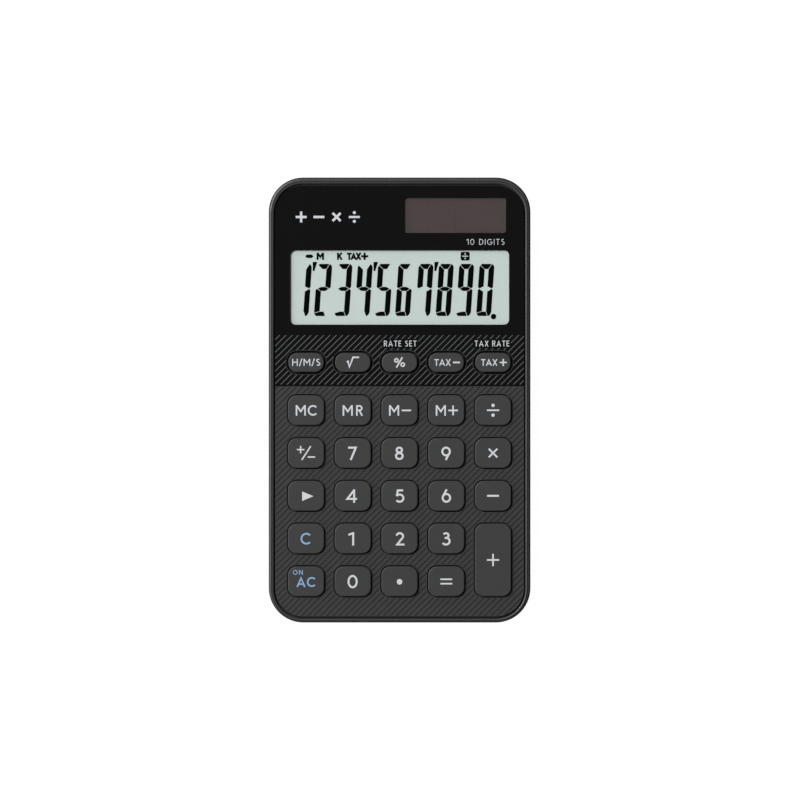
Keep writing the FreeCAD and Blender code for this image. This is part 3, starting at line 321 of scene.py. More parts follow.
def solar_film(name, dark, light, line_colour):
    """Amorphous silicon: brown with a violet cast, and hairlines between its strips."""
    m = Nodes(name)
    cloud = m.noise(0.12)
    grain = m.noise(10.0, detail=3)
    low, high = box_mm("solar_cell")
    strip = (high.x - low.x) / SOLAR_STRIPS
    across = m.math("SUBTRACT", m.axis("X"), low.x)
    line = m.math("LESS_THAN", m.math("PINGPONG", across, strip / 2), SOLAR_LINE)
    m.surface(
        Base_Color=m.mix_colours(line, m.mix_colours(cloud, dark, light), line_colour),
        Roughness=m.between(grain, 0.3, 0.4),
        Specular_IOR_Level=0.15,
        Normal=m.bump(grain, 0.001),
    )
    return m.material


def brushed_metal(name, colour, roughness=0.3):
    """Sheet or turned metal with fine drawn scratches."""
    m = Nodes(name)
    scratches = m.noise(12.0, detail=3, stretch=(0.08, 1.0, 1.0))
    dark, light = shades(colour, 0.12)
    m.surface(
        Base_Color=m.mix_colours(scratches, dark, light),
        Metallic=1.0,
        Roughness=m.between(scratches, roughness - 0.08, roughness + 0.1),
        Normal=m.bump(scratches, 0.002),
    )
    return m.material


def soft_rubber(name, colour, roughness=0.7):
    """Silicone or foam rubber with a powdery, slightly mottled face."""
    m = Nodes(name)
    mottle = m.noise(2.5, detail=5)
    dark, light = shades(colour, 0.15)
    m.surface(
        Base_Color=m.mix_colours(mottle, dark, light),
        Roughness=m.between(mottle, roughness - 0.08, roughness + 0.08),
        Specular_IOR_Level=0.3,
        Normal=m.bump(mottle, 0.01),
    )
    return m.material


def circuit_board(name):
    """Phenolic board with a solder mask and faint tracks under it."""
    m = Nodes(name)
    tracks = m.add("ShaderNodeTexBrick")
    tracks.inputs["Scale"].default_value = 0.35
    tracks.inputs["Mortar Size"].default_value = 0.06
    tracks.inputs["Color1"].default_value = (0.02, 0.12, 0.05, 1)
    tracks.inputs["Color2"].default_value = (0.025, 0.14, 0.06, 1)
    tracks.inputs["Mortar"].default_value = (0.05, 0.2, 0.08, 1)
    m.link(m.place, tracks.inputs["Vector"])
    fibre = m.noise(5.0, detail=3)
    m.surface(
        Base_Color=tracks.outputs["Color"],
        Roughness=m.between(fibre, 0.35, 0.5),
        Specular_IOR_Level=0.5,
        Normal=m.bump(tracks.outputs["Fac"], 0.02),
    )
    return m.material


def light_table(name):
    """A pale floor lit from behind, which takes most of the shadow away. Clear from below."""
    m = Nodes(name)
    dark, light = shades(FLOOR_GREY, 0.05)
    top = m.surface(
        Base_Color=m.mix_colours(m.noise(0.004), dark, light),
        Roughness=0.9,
        Specular_IOR_Level=0.0,
        Emission_Color=WHITE,
        Emission_Strength=FLOOR_GLOW,
    )
    sides = m.add("ShaderNodeMixShader")
    m.link(m.add("ShaderNodeNewGeometry").outputs["Backfacing"], sides.inputs[0])
    m.link(top.outputs[0], sides.inputs[1])
    m.link(m.add("ShaderNodeBsdfTransparent").outputs[0], sides.inputs[2])
    m.link(sides.outputs[0], m.output.inputs["Surface"])
    return m.material


CASE = case_plastic("case_plastic", (0.0225, 0.0225, 0.023), 0.37, specular=0.38)
KEY = moulded_plastic("key_plastic", (0.0295, 0.0295, 0.030), 0.4, grain=11.0, specular=0.16)
PANEL = gloss_plastic("panel_gloss", (0.0042, 0.0042, 0.0042))
# The plate's second colour is the shade painted into its grooves.
PLATE = grooved_plastic(
    "plate_plastic", (0.0285, 0.0285, 0.029), (0.009, 0.009, 0.0095), 0.45, specular=0.14
)
INK_LIGHT = printed_ink("ink_light", (0.43, 0.445, 0.465))
INK_BLUE = printed_ink("ink_blue", (0.162, 0.268, 0.41))
INK_STRIPE = printed_ink("ink_stripe", (0.049, 0.0535, 0.0535))
# A painted highlight: a ring a little lighter than the panel, round each function key hole.
INK_RING_HIGHLIGHT = printed_ink("ink_ring_highlight", (0.011, 0.012, 0.012))
INK_DISPLAY = printed_ink("ink_display", (0.001, 0.001, 0.0012), 0.9, specular=0.02)
PANE = clear_pane("pane_clear")
FILM = display_film("display_film", (0.466, 0.504, 0.492), (0.496, 0.538, 0.526))
SOLAR = solar_film(
    "solar_film", (0.056, 0.039, 0.041), (0.062, 0.044, 0.045), line_colour=(0.042, 0.03, 0.032)
)
GLASS = clear_pane("display_glass")
STEEL = brushed_metal("screw_steel", (0.45, 0.45, 0.46))
CELL = brushed_metal("cell_steel", (0.62, 0.62, 0.6), 0.25)
SPRING = brushed_metal("contact_metal", (0.68, 0.62, 0.48))
GOLD = brushed_metal("contact_gold", (0.72, 0.5, 0.2), 0.35)
SOLDER = brushed_metal("solder", (0.6, 0.61, 0.63))
RUBBER = soft_rubber("dome_rubber", (0.42, 0.42, 0.4))
CARBON = soft_rubber("carbon_rubber", (0.015, 0.015, 0.015), 0.6)
FOAM = soft_rubber("foam", (0.02, 0.02, 0.02), 0.9)
FILM_TAPE = moulded_plastic("adhesive_film", (0.4, 0.4, 0.36), 0.6)
HOLDER = moulded_plastic("holder_plastic", (0.55, 0.55, 0.52), 0.5)
BOARD = circuit_board("board_mask")
EPOXY = gloss_plastic("epoxy_drop", (0.008, 0.008, 0.009), 0.15)
CERAMIC = moulded_plastic("chip_ceramic", (0.26, 0.2, 0.13), 0.45)
WIRE_RED = moulded_plastic("wire_red", (0.45, 0.02, 0.015), 0.4)
WIRE_BLACK = moulded_plastic("wire_black", (0.015, 0.015, 0.015), 0.4)

NODE_MATERIALS = {
    "front_case": CASE,
    "rear_case": CASE,
    "display_panel": PANEL,
    "keypad_plate": PLATE,
    "display_panel_adhesive": FILM_TAPE,
    "keypad_plate_adhesive": FILM_TAPE,
    "lcd_window": PANE,
    "solar_window": PANE,
    "lcd_front_glass": GLASS,
    "lcd_rear_glass": GLASS,
    "lcd_front_polarizer": FILM,
    "lcd_rear_polarizer": FILM,
    "lcd_holder": HOLDER,
    "lcd_contact_strip": CARBON,
    "solar_cell": SOLAR,
    "solar_cell_pad": FOAM,
    "solar_wire_red": WIRE_RED,
    "solar_wire_black": WIRE_BLACK,
    "main_board": BOARD,
    "processor_blob": EPOXY,
    "chip_capacitors": CERAMIC,
    "chip_resistors": EPOXY,
    "blocking_diode": EPOXY,
    "rubber_dome_sheet": RUBBER,
    "button_cell": CELL,
    "battery_positive_contact": SPRING,
    "battery_negative_contact": SPRING,
    "case_screws": STEEL,
    "board_screws": STEEL,
    **{name: KEY for name in KEY_NODES},
}
for name, material in NODE_MATERIALS.items():
    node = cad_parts[name]
    node.data.materials.clear()
    node.data.materials.append(material)


# Flat printed shapes ---------------------------------------------------------------------

CORNER_STEPS = 8
SAME_POINT = 1e-6
MERGE_DISTANCE = 1e-5

# A mitred corner sticks out by half the line's width over this at most.
MITRE_LIMIT = 0.45


def arc(x, y, radius_x, radius_y, start, end, steps=20):
    """Points along an ellipse, angles in degrees."""
    turns = [math.radians(start + (end - start) * i / steps) for i in range(steps + 1)]
    return [(x + radius_x * math.cos(a), y + radius_y * math.sin(a)) for a in turns]


def ribbon(points, width):
    """The quads of a line of even width through points, with mitred corners."""
    path = [Vector(p) for p in points]
    closed = (path[0] - path[-1]).length < SAME_POINT
    if closed:
        path = path[:-1]
    count = len(path)
    lefts = []
    for i, here in enumerate(path):
        before = path[i - 1] if closed or i else None
        after = path[(i + 1) % count] if closed or i < count - 1 else None
        into = (here - before).normalized() if before is not None else (after - here).normalized()
        out = (after - here).normalized() if after is not None else into
        across = (into.orthogonal() + out.orthogonal()).normalized()
        stretch = 1 / max(across.dot(into.orthogonal()), MITRE_LIMIT)
        lefts.append(across * (width / 2 * stretch))
    quads = []
    for i in range(count if closed else count - 1):
        j = (i + 1) % count
        quads.append([path[i] + lefts[i], path[j] + lefts[j], path[j] - lefts[j], path[i] - lefts[i]])
    return quads


def rectangle(x, y, width, height):
    """The corners of a rectangle with its middle at x, y."""
    return [
        (x + sx * width / 2, y + sy * height / 2) for sx, sy in ((-1, -1), (1, -1), (1, 1), (-1, 1))
    ]


def rounded(x, y, width, height, radius):
    """The outline of a rectangle with round corners and its middle at x, y."""
    outline = []
    for turn, (sx, sy) in enumerate(((1, 1), (-1, 1), (-1, -1), (1, -1))):
        corner_x = x + sx * (width / 2 - radius)
        corner_y = y + sy * (height / 2 - radius)
        start = 90 * turn
        outline += arc(corner_x, corner_y, radius, radius, start, start + 90, CORNER_STEPS)
    return outline


def anticlockwise(outline):
    """The outline's points in anticlockwise order, as the triangulation needs them."""
    points = [Vector(p) for p in outline]
    turn = sum(p.cross(points[i - 1]) for i, p in enumerate(points))
    return points if turn < 0 else points[::-1]


def covered(shapes, holes, inside):
    """Points, and triangles that cover the shapes, less the holes and only within inside."""
    groups = [("shape", s) for s in shapes] + [("hole", s) for s in holes]
    if inside is not None:
        groups.append(("inside", inside))
    points, outlines = [], []
    for _, outline in groups:
        outlines.append(list(range(len(points), len(points) + len(outline))))
        points += anticlockwise(outline)
    result = delaunay_2d_cdt(points, [], outlines, 1, MERGE_DISTANCE)
    corners, triangles, sources = result[0], result[2], result[5]
    kept = []
    for triangle, owners in zip(triangles, sources):
        kinds = {groups[i][0] for i in owners}
        if "shape" in kinds and "hole" not in kinds and (inside is None or "inside" in kinds):
            kept.append(triangle)
    used = sorted({i for t in kept for i in t})
    number = {old: new for new, old in enumerate(used)}
    return [corners[i] for i in used], [tuple(number[i] for i in t) for t in kept]


def add_piece(name, points, faces, material, body):
    """A mesh with its points in metres, which rides on a body."""
    mesh = bpy.data.meshes.new(name)
    mesh.from_pydata(points, [], faces)
    mesh.materials.append(material)
    piece = bpy.data.objects.new(name, mesh)
    bpy.context.scene.collection.objects.link(piece)
    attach(piece, body)
    return piece


def flat_solid(name, shapes, bottom, top, material, body, holes=(), inside=None):
    """A thin solid in the union of shapes, less the holes, and only within inside."""
    corners, tops = covered(shapes, holes, inside)
    count = len(corners)
    upper = [(c.x * MM, c.y * MM, top * MM) for c in corners]
    lower = [(x, y, bottom * MM) for x, y, _ in upper]
    edges = {(t[i], t[(i + 1) % len(t)]) for t in tops for i in range(len(t))}
    faces = list(tops)
    faces += [tuple(i + count for i in reversed(t)) for t in tops]
    faces += [(a, a + count, b + count, b) for a, b in sorted(edges) if (b, a) not in edges]
    return add_piece(name, upper + lower, faces, material, body)


# A plain stroke alphabet -----------------------------------------------------------------
# Each letter is drawn on a cap height of 1 with strokes of weight w: its width, then its
# strokes as lists of points.

LETTER_SPACE = 0.16
WORD_SPACE = 0.28


def digit_strokes(w):
    """The digits 0 to 9."""
    h = w / 2
    bowl = arc(0.355, 0.635, 0.355 - h, 0.365 - h, -27, 333, 32)
    tail = [(0.355 + (0.355 - h) * 0.89, 0.635 - (0.365 - h) * 0.455), (0.33, 0)]
    nine = [bowl, tail]
    six = [[(0.71 - x, 1 - y) for x, y in stroke] for stroke in nine]
    return {
        "0": (0.76, [arc(0.38, 0.5, 0.38 - h, 0.5 - h, 0, 360, 36)]),
        "1": (0.46, [[(0.46 - h, 0), (0.46 - h, 1)], [(0.03, 0.8), (0.46 - h, 1 - h * 0.9)]]),
        "2": (0.68, [arc(0.33, 0.7, 0.32 - h, 0.3 - h, 168, -38) + [(0.13, h), (0.68, h)]]),
        "3": (
            0.68,
            [
                arc(0.33, 0.745, 0.27 - h, 0.255 - h, 150, -90) + [(0.24, 0.49 + h)],
                [(0.24, 0.49 + h)] + arc(0.33, 0.288 + h / 2, 0.35 - h, 0.29 - h / 2, 90, -148),
            ],
        ),
        "4": (0.8, [[(0.6, 0.97), (0.07, 0.29), (0.8, 0.29)], [(0.58, 0), (0.58, 1)]]),
        "5": (
            0.69,
            [
                [(0.6, 1 - h), (0.2, 1 - h), (0.125, 0.5)],
                arc(0.335, 0.345, 0.355 - h, 0.345 - h, 142, -143),
            ],
        ),
        "6": (0.71, six),
        "7": (0.68, [[(0.0, 1 - h), (0.58, 1 - h), (0.2, 0)]]),
        "8": (
            0.65,
            [
                arc(0.325, 0.745, 0.275 - h, 0.255 - h, 0, 360, 28),
                arc(0.325, 0.295, 0.325 - h, 0.295 - h, 0, 360, 32),
            ],
        ),
        "9": (0.71, nine),
    }


def letter_strokes(w):
    """The capital letters and the slash that the legends use."""
    h = w / 2
    waist = 0.44
    bowl_y = (1 + waist) / 2
    bowl = arc(0.33, bowl_y, 0.29 - h, (1 - waist) / 2 - h, 90, -90, 14)
    return {
        "A": (
            0.9,
            [
                [(h * 0.9, 0), (0.45, 1 - h * 1.3), (0.9 - h * 0.9, 0)],
                [(0.2, 0.29), (0.7, 0.29)],
            ],
        ),
        "C": (0.87, [arc(0.5, 0.5, 0.5 - h, 0.5 - h, 43, 317, 28)]),
        "D": (
            0.78,
            [
                [(h, h), (h, 1 - h), (0.3, 1 - h)]
                + arc(0.3, 0.5, 0.48 - h, 0.5 - h, 90, -90)
                + [(h, h)]
            ],
        ),
        "E": (0.54, [[(0.54, 1 - h), (h, 1 - h), (h, h), (0.54, h)], [(h, 0.52), (0.5, 0.52)]]),
        "G": (
            0.95,
            [arc(0.5, 0.5, 0.5 - h, 0.5 - h, 45, 350, 28) + [(0.95 - h, 0.47), (0.55, 0.47)]],
        ),
        "H": (0.8, [[(h, 0), (h, 1)], [(0.8 - h, 0), (0.8 - h, 1)], [(h, 0.52), (0.8 - h, 0.52)]]),
        "I": (w, [[(h, 0), (h, 1)]]),
        "K": (0.72, [[(h, 0), (h, 1)], [(0.66, 1), (h * 1.4, 0.42)], [(0.3, 0.56), (0.67, 0)]]),
        "M": (
            0.96,
            [
                [(h, 0), (h, 1)],
                [(0.96 - h, 0), (0.96 - h, 1)],
                [(h, 0.97), (0.48, 0.4), (0.96 - h, 0.97)],
            ],
        ),
        "N": (
            0.82,
            [
                [(h, 0), (h, 1)],
                [(0.82 - h, 0), (0.82 - h, 1)],
                [(h, 0.97), (0.82 - h, 0.03)],
            ],
        ),
        "O": (1.0, [arc(0.5, 0.5, 0.5 - h, 0.5 - h, 0, 360, 36)]),
        "R": (
            0.64,
            [
                [(h, 0), (h, 1)],
                [(h, 1 - h)] + bowl + [(h, waist + h)],
                [(0.3, waist + h), (0.58, 0)],
            ],
        ),
        "S": (
            0.6,
            [
                arc(0.3, 0.755, 0.265 - h, 0.245 - h, 38, 250, 18)
                + arc(0.3, 0.275, 0.3 - h, 0.275 - h, 70, -142, 18)
            ],
        ),
        "T": (0.66, [[(0, 1 - h), (0.66, 1 - h)], [(0.33, 0), (0.33, 1 - h)]]),
        "X": (0.8, [[(0.1, 0), (0.7, 1)], [(0.1, 1), (0.7, 0)]]),
        "/": (0.5, [[(0.07, -0.05), (0.43, 1.05)]]),
    }


def text_shapes(text, x, y, cap, weight, width=None, narrow=1.0):
    """The quads of a line of text with its middle at x, y, spread to a width if one is given."""
    w = weight / cap
    glyphs = {**digit_strokes(w), **letter_strokes(w), " ": (WORD_SPACE, [])}
    drawn = [glyphs[c] for c in text]
    natural = sum(glyph[0] for glyph in drawn) * cap * narrow
    gaps = max(len(text) - 1, 1)
    space = (width - natural) / gaps if width else LETTER_SPACE * cap
    total = natural + space * (len(text) - 1)
    left = x - total / 2
    shapes = []
    for glyph_width, strokes in drawn:
        for stroke in strokes:
            placed = [(left + px * cap * narrow, y + (py - 0.5) * cap) for px, py in stroke]
            shapes += ribbon(placed, weight)
        left += glyph_width * cap * narrow + space
    return shapes


def bar(x, y, width, thickness):
    """A level bar."""
    return [rectangle(x, y, width, thickness)]


def plus_sign(x, y, span, thickness):
    """A plus."""
    return [rectangle(x, y, span, thickness), rectangle(x, y, thickness, span)]


def times_sign(x, y, span, thickness):
    """A multiplication cross."""
    reach = span / 2 - thickness * 0.35
    down = ribbon([(x - reach, y + reach), (x + reach, y - reach)], thickness)
    up = ribbon([(x - reach, y - reach), (x + reach, y + reach)], thickness)
    return down + up


def dot(x, y, radius):
    """A round dot."""
    return [arc(x, y, radius, radius, 0, 360, 24)[:-1]]


def divide_sign(x, y, span, thickness):
    """A bar between two dots."""
    rise = span * 0.4
    radius = span * 0.14
    return bar(x, y, span, thickness) + dot(x, y + rise, radius) + dot(x, y - rise, radius)


def percent_sign():
    """A slash between two rings."""
    rings = []
    for side in (-1, 1):
        rings += ribbon(arc(0.84 * side, -0.57 * side, 0.45, 0.45, 0, 360, 24), 0.37)
    return rings + ribbon([(-0.85, -1.36), (0.75, 1.36)], 0.4)


def root_sign():
    """A square root sign."""
    return ribbon([(-1.62, 0.1), (-1.26, 0.3), (-0.9, -1.18), (0.06, 1.36), (1.67, 1.36)], 0.42)


def sign_change():
    """A plus, a slash and a minus."""
    slash = ribbon([(-1.15, -1.85), (1.25, 1.85)], 0.38)
    return plus_sign(-1.45, 0.92, 1.98, 0.36) + slash + bar(1.42, -1.06, 2.0, 0.38)


def digit_legends():
    """The legends of the ten digit keys, each set so that its ink looks centred."""
    shifts = {"1": -0.46, "2": 0.1, "4": -0.29, "5": 0.05, "6": 0.02}
    return {
        f"key_{d}": text_shapes(d, shifts.get(d, -0.06), -0.07, cap=3.54, weight=0.52)
        for d in "0123456789"
    }


def letter_legends():
    """The legends that are written in letters."""
    memory = dict(cap=2.8, weight=0.42)
    letter_m = text_shapes("M", -1.45, -0.04, **memory)
    tax = text_shapes("TAX", -0.98, 0, cap=1.76, weight=0.27, width=4.4)
    switch_on = text_shapes("ON", -2.18, 2.39, cap=1.25, weight=0.2, width=2.65)
    all_clear = text_shapes("AC", -0.02, -0.17, cap=2.65, weight=0.42, width=5.05)
    return {
        "key_hms": text_shapes("H/M/S", 0.03, 0.03, cap=1.86, weight=0.27, width=7.45),
        "key_tax_minus": tax + bar(2.72, 0, 1.85, 0.42),
        "key_tax_plus": tax + plus_sign(2.72, 0, 1.9, 0.37),
        "key_mc": text_shapes("MC", 0.06, -0.03, width=5.64, **memory),
        "key_mr": text_shapes("MR", -0.02, -0.05, width=5.36, **memory),
        "key_m_minus": letter_m + bar(1.82, -0.04, 2.5, 0.43),
        "key_m_plus": letter_m + plus_sign(1.8, -0.04, 2.6, 0.43),
        "key_clear": text_shapes("C", -0.12, -0.03, cap=3.12, weight=0.48),
        "key_all_clear": all_clear + switch_on,
    }


def sign_legends():
    """The legends that are signs."""
    return {
        "key_square_root": root_sign(),
        "key_percent": percent_sign(),
        "key_divide": divide_sign(0, 0, 3.25, 0.43),
        "key_sign_change": sign_change(),
        "key_multiply": times_sign(0, 0, 2.6, 0.46),
        "key_backspace": [[(-1.05, 1.17), (-1.05, -1.37), (1.95, -0.1)]],
        "key_minus": bar(0, 0, 3.15, 0.5),
        "key_plus": plus_sign(0, 0, 3.25, 0.44),
        "key_equals": bar(0, 0.55, 3.15, 0.42) + bar(0, -0.62, 3.15, 0.42),
        "key_decimal_point": dot(0, -0.12, 0.74),
    }


def add_legends():
    """Prints a legend on every key. It moves with the key."""
    legends = {**digit_legends(), **letter_legends(), **sign_legends()}
    for node, shapes in legends.items():
        ink = INK_BLUE if node in ("key_clear", "key_all_clear") else INK_LIGHT
        middle = middle_mm(node)
        top = box_mm(node)[1].z
        placed = [[(p[0] + middle.x, p[1] + middle.y) for p in shape] for shape in shapes]
        bottom = top - PRINT_SINK
        flat_solid(f"legend_{node}", placed, bottom, top + PRINT_THICKNESS, ink, f"{node}_body")


# The display -----------------------------------------------------------------------------

# Segments and apostrophes are drawn from a digit's lower left corner. The last digit, the
# digits' base and the row of marks are placed from the middle of the window.
DIGIT_HEIGHT = 13.77
DIGIT_WIDTH = 3.87
DIGIT_WAIST = 7.25
DIGIT_PITCH = 5.4
DIGIT_SLANT = 0.068
LAST_DIGIT_LEFT = 20.43
DIGITS_BASE = -7.55
DISPLAY_ROW = 8.3
DISPLAY_SPREAD = 0.11
DISPLAY_JOINT = 0.13
DISPLAY_NUMBER = "1234567890"
APOSTROPHE = ((-0.3, 14.3), (0.77, 14.3), (0.07, 11.98), (-0.3, 11.98))
DASH = ((-1.05, 0), (-0.6, 0.42), (0.6, 0.42), (1.05, 0), (0.6, -0.42), (-0.6, -0.42))


def segment_outlines():
    """The seven segments of a display digit, upright, from its lower left corner."""
    top, right, waist = DIGIT_HEIGHT, DIGIT_WIDTH, DIGIT_WAIST
    return {
        "a": [
            (0.36, top - 0.3),
            (0.61, top),
            (right - 0.77, top),
            (right - 1.5, top - 1.26),
            (1.3, top - 1.26),
        ],
        "b": [
            (right - 0.6, top - 0.1),
            (right - 0.3, top - 0.22),
            (right, top - 0.8),
            (right, waist + 0.42),
            (right - 0.32, waist + 0.12),
            (right - 0.58, waist + 0.12),
            (right - 1.36, waist + 0.52),
            (right - 1.36, top - 1.4),
        ],
        "c": [
            (right - 0.3, waist - 0.14),
            (right, waist - 0.45),
            (right, 1.0),
            (right - 0.3, 0.3),
            (right - 0.68, 0.0),
            (right - 0.88, 0.0),
            (right - 1.32, 0.98),
            (right - 1.32, waist - 0.68),
        ],
        "d": [
            (0.1, 0.5),
            (0.55, 0.0),
            (right - 1.0, 0.0),
            (right - 1.36, 1.06),
            (1.22, 1.06),
            (0.12, 0.68),
        ],
        "e": [
            (0.3, waist - 0.14),
            (0.0, waist - 0.45),
            (0.0, 0.95),
            (0.06, 0.82),
            (1.34, 1.22),
            (1.34, waist - 0.68),
        ],
        "f": [
            (0.24, top - 0.42),
            (0.0, top - 0.85),
            (0.0, waist + 0.42),
            (0.32, waist + 0.12),
            (0.58, waist + 0.12),
            (1.36, waist + 0.52),
            (1.36, top - 1.42),
        ],
        "g": [
            (0.5, waist + 0.02),
            (1.18, waist + 0.4),
            (right - 1.18, waist + 0.4),
            (right - 0.5, waist + 0.02),
            (right - 1.1, waist - 0.58),
            (1.14, waist - 0.58),
        ],
    }


def segment_joints():
    """The fine clear lines between neighbouring segments, upright."""
    top, right, waist = DIGIT_HEIGHT, DIGIT_WIDTH, DIGIT_WAIST
    return [
        [(0.2, top - 0.26), (1.36, top - 1.37)],
        [(right - 0.62, top + 0.06), (right - 1.46, top - 1.37)],
        [(0.44, waist + 0.02), (1.33, waist + 0.49)],
        [(0.38, waist - 0.05), (1.29, waist - 0.68)],
        [(right - 0.44, waist + 0.02), (right - 1.33, waist + 0.49)],
        [(right - 0.38, waist - 0.05), (right - 1.25, waist - 0.68)],
        [(-0.1, waist - 0.01), (0.44, waist - 0.01)],
        [(right + 0.1, waist - 0.01), (right - 0.44, waist - 0.01)],
        [(-0.06, 0.72), (1.3, 1.15)],
        [(right - 0.92, -0.08), (right - 1.35, 1.08)],
    ]


LIT = {
    "0": "abcdef",
    "1": "bc",
    "2": "abged",
    "3": "abgcd",
    "4": "fgbc",
    "5": "afgcd",
    "6": "afgedc",
    "7": "fabc",
    "8": "abcdefg",
    "9": "abcdfg",
}


def print_on_display(name, shapes, holes=()):
    """Prints shapes, each grown by a thin border, as the dark liquid crystal spreads."""
    borders = [quad for s in shapes for quad in ribbon([*s, s[0]], DISPLAY_SPREAD)]
    bottom, top = LCD_TOP - PRINT_SINK, LCD_TOP + PRINT_THICKNESS
    flat_solid(name, [*shapes, *borders], bottom, top, INK_DISPLAY, "case", holes=holes)


def slanted(points, left, base):
    """Points of an upright digit, slanted and moved to its place."""
    return [(left + x + y * DIGIT_SLANT, base + y) for x, y in points]


def add_display_number(last_left, base):
    """The display's slanted digits, its apostrophe marks and its decimal point."""
    segments = segment_outlines()
    for place, digit in enumerate(DISPLAY_NUMBER):
        after = len(DISPLAY_NUMBER) - 1 - place
        left = last_left - DIGIT_PITCH * after
        shapes = [slanted(segments[name], left, base) for name in LIT[digit]]
        joints = []
        for line in segment_joints():
            joints += ribbon(slanted(line, left, base), DISPLAY_JOINT)
        if after % 3 == 2:
            shapes.append([(left + x, base + y) for x, y in APOSTROPHE])
        print_on_display(f"display_digit_{digit}", shapes, holes=joints)
    print_on_display("display_decimal_point", dot(last_left + 4.6, base - 0.2, 0.69))


def add_display_row(middle, level):
    """The small marks in a row over the digits."""
    print_on_display("display_minus", [[(middle - 24.03 + x, level + y) for x, y in DASH]])
    for text, x, width in (("M", -21.1, 1.9), ("K", -15.95, 1.37), ("TAX", -12.1, 3.75)):
        spread = width if len(text) > 1 else None
        shapes = text_shapes(text, 0, level, cap=1.8, weight=0.4, width=spread)
        across = [p[0] for s in shapes for p in s]
        squeeze = width / (max(across) - min(across))
        placed = [[(middle + x + p[0] * squeeze, p[1]) for p in s] for s in shapes]
        print_on_display(f"display_{text.lower()}", placed)
    print_on_display("display_plus", plus_sign(middle - 9.3, level, 1.8, 0.45))
    box_x, box_y = middle + 17.47, level + 0.03
    sign = divide_sign(box_x, box_y, 1.55, 0.3)
    print_on_display("display_divide_box", [rounded(box_x, box_y, 2.28, 2.2, 0.35)], holes=sign)


def add_display():
    """The display's digits and marks, as dark shapes on its film."""
    window = middle_mm("lcd_window")
    add_display_number(window.x + LAST_DIGIT_LEFT, window.y + DIGITS_BASE)
    add_display_row(window.x, window.y + DISPLAY_ROW)


# Prints on the display panel -------------------------------------------------------------

FUNCTION_KEYS = ("key_hms", "key_square_root", "key_percent", "key_tax_minus", "key_tax_plus")
HOLE_WIDTH = 10.1
HOLE_HEIGHT = 5.75
HOLE_CORNER = 2.7
HOLE_BORDER = 0.34
RING_WIDTH = 0.13
PANEL_WORD_RISE = 5.03
PANEL_CAP = 1.55

# Stripes rise at 45 degrees. One of them crosses the X axis at the phase.
STRIPE_PITCH = 1.675
STRIPE_WIDTH = 0.22
STRIPE_PHASE = 1.086
STRIPE_TOP = 17.27
STRIPE_MARGIN = 0.1
STRIPE_OVERRUN = 2

FIRST_SIGN_LEFT = 26.2
SIGN_PITCH = 4.72
SIGN_DROP = 0.45
NOTE_INSET = 6.1
NOTE_Y = 42.1


def print_on_panel(name, shapes, ink, holes=(), inside=None):
    """Prints shapes on the display panel."""
    bottom, top = PANEL_TOP - PRINT_SINK, PANEL_TOP + PRINT_THICKNESS
    flat_solid(name, shapes, bottom, top, ink, "case", holes=holes, inside=inside)


def add_panel_words():
    """The small words over two function keys. Gives the outlines that stay clear of stripes."""
    y = middle_mm("key_percent").y + PANEL_WORD_RISE
    clear = []
    for text, node, shift, width in (
        ("RATE SET", "key_percent", 0.18, 8.65),
        ("TAX RATE", "key_tax_plus", -0.28, 9.2),
    ):
        x = middle_mm(node).x + shift
        shapes = text_shapes(text, x, y, PANEL_CAP, weight=0.2, width=width, narrow=0.84)
        print_on_panel("print_" + text.lower().replace(" ", "_"), shapes, INK_LIGHT)
        clear.append(rectangle(x, y, width + 0.9, 2.4))
    return clear


def add_hole_ring_highlights():
    """A fine ring round each function key hole, a painted highlight. Gives the rings' outlines."""
    width = HOLE_WIDTH + 2 * HOLE_BORDER
    height = HOLE_HEIGHT + 2 * HOLE_BORDER
    outlines, rings = [], []
    for node in FUNCTION_KEYS:
        middle = middle_mm(node)
        outline = rounded(middle.x, middle.y, width, height, HOLE_CORNER + HOLE_BORDER)
        outlines.append(outline)
        rings += ribbon([*outline, outline[0]], RING_WIDTH)
    # Painted highlight: the ring stands for light caught round the edge of the hole.
    print_on_panel("painted_hole_ring_highlights", rings, INK_RING_HIGHLIGHT)
    return outlines


def add_stripes(clear):
    """Diagonal stripes across the lower part of the panel, except in the clear outlines."""
    low, high = box_mm("display_panel")
    bottom = low.y + STRIPE_MARGIN
    band_width = high.x - low.x - 2 * STRIPE_MARGIN
    band = rectangle(0, (bottom + STRIPE_TOP) / 2, band_width, STRIPE_TOP - bottom)
    first = math.ceil((low.x - STRIPE_TOP - STRIPE_PHASE) / STRIPE_PITCH)
    last = math.floor((high.x - bottom - STRIPE_PHASE) / STRIPE_PITCH)
    stripes = []
    for number in range(first, last + 1):
        shift = STRIPE_PHASE + number * STRIPE_PITCH
        ends = [(shift + y, y) for y in (bottom - STRIPE_OVERRUN, STRIPE_TOP + STRIPE_OVERRUN)]
        stripes += ribbon(ends, STRIPE_WIDTH)
    print_on_panel("print_stripes", stripes, INK_STRIPE, holes=clear, inside=band)


def add_panel_signs():
    """A row of four arithmetic signs at the panel's upper left."""
    left = middle_mm("display_panel").x - FIRST_SIGN_LEFT
    y = middle_mm("solar_window").y - SIGN_DROP
    signs = (
        ("plus", plus_sign, 2.9, 0.62),
        ("minus", bar, 2.9, 0.62),
        ("times", times_sign, 2.55, 0.62),
        ("divide", divide_sign, 2.9, 0.56),
    )
    for place, (name, draw, span, thickness) in enumerate(signs):
        shapes = draw(left + place * SIGN_PITCH, y, span, thickness)
        print_on_panel(f"print_sign_{name}", shapes, INK_LIGHT)


def add_panel_note():
    """The count of digits under the solar window."""
    x = box_mm("solar_window")[1].x - NOTE_INSET
    shapes = text_shapes("10 DIGITS", x, NOTE_Y, PANEL_CAP, weight=0.15, width=10.2, narrow=0.9)
    print_on_panel("print_ten_digits", shapes, INK_LIGHT)


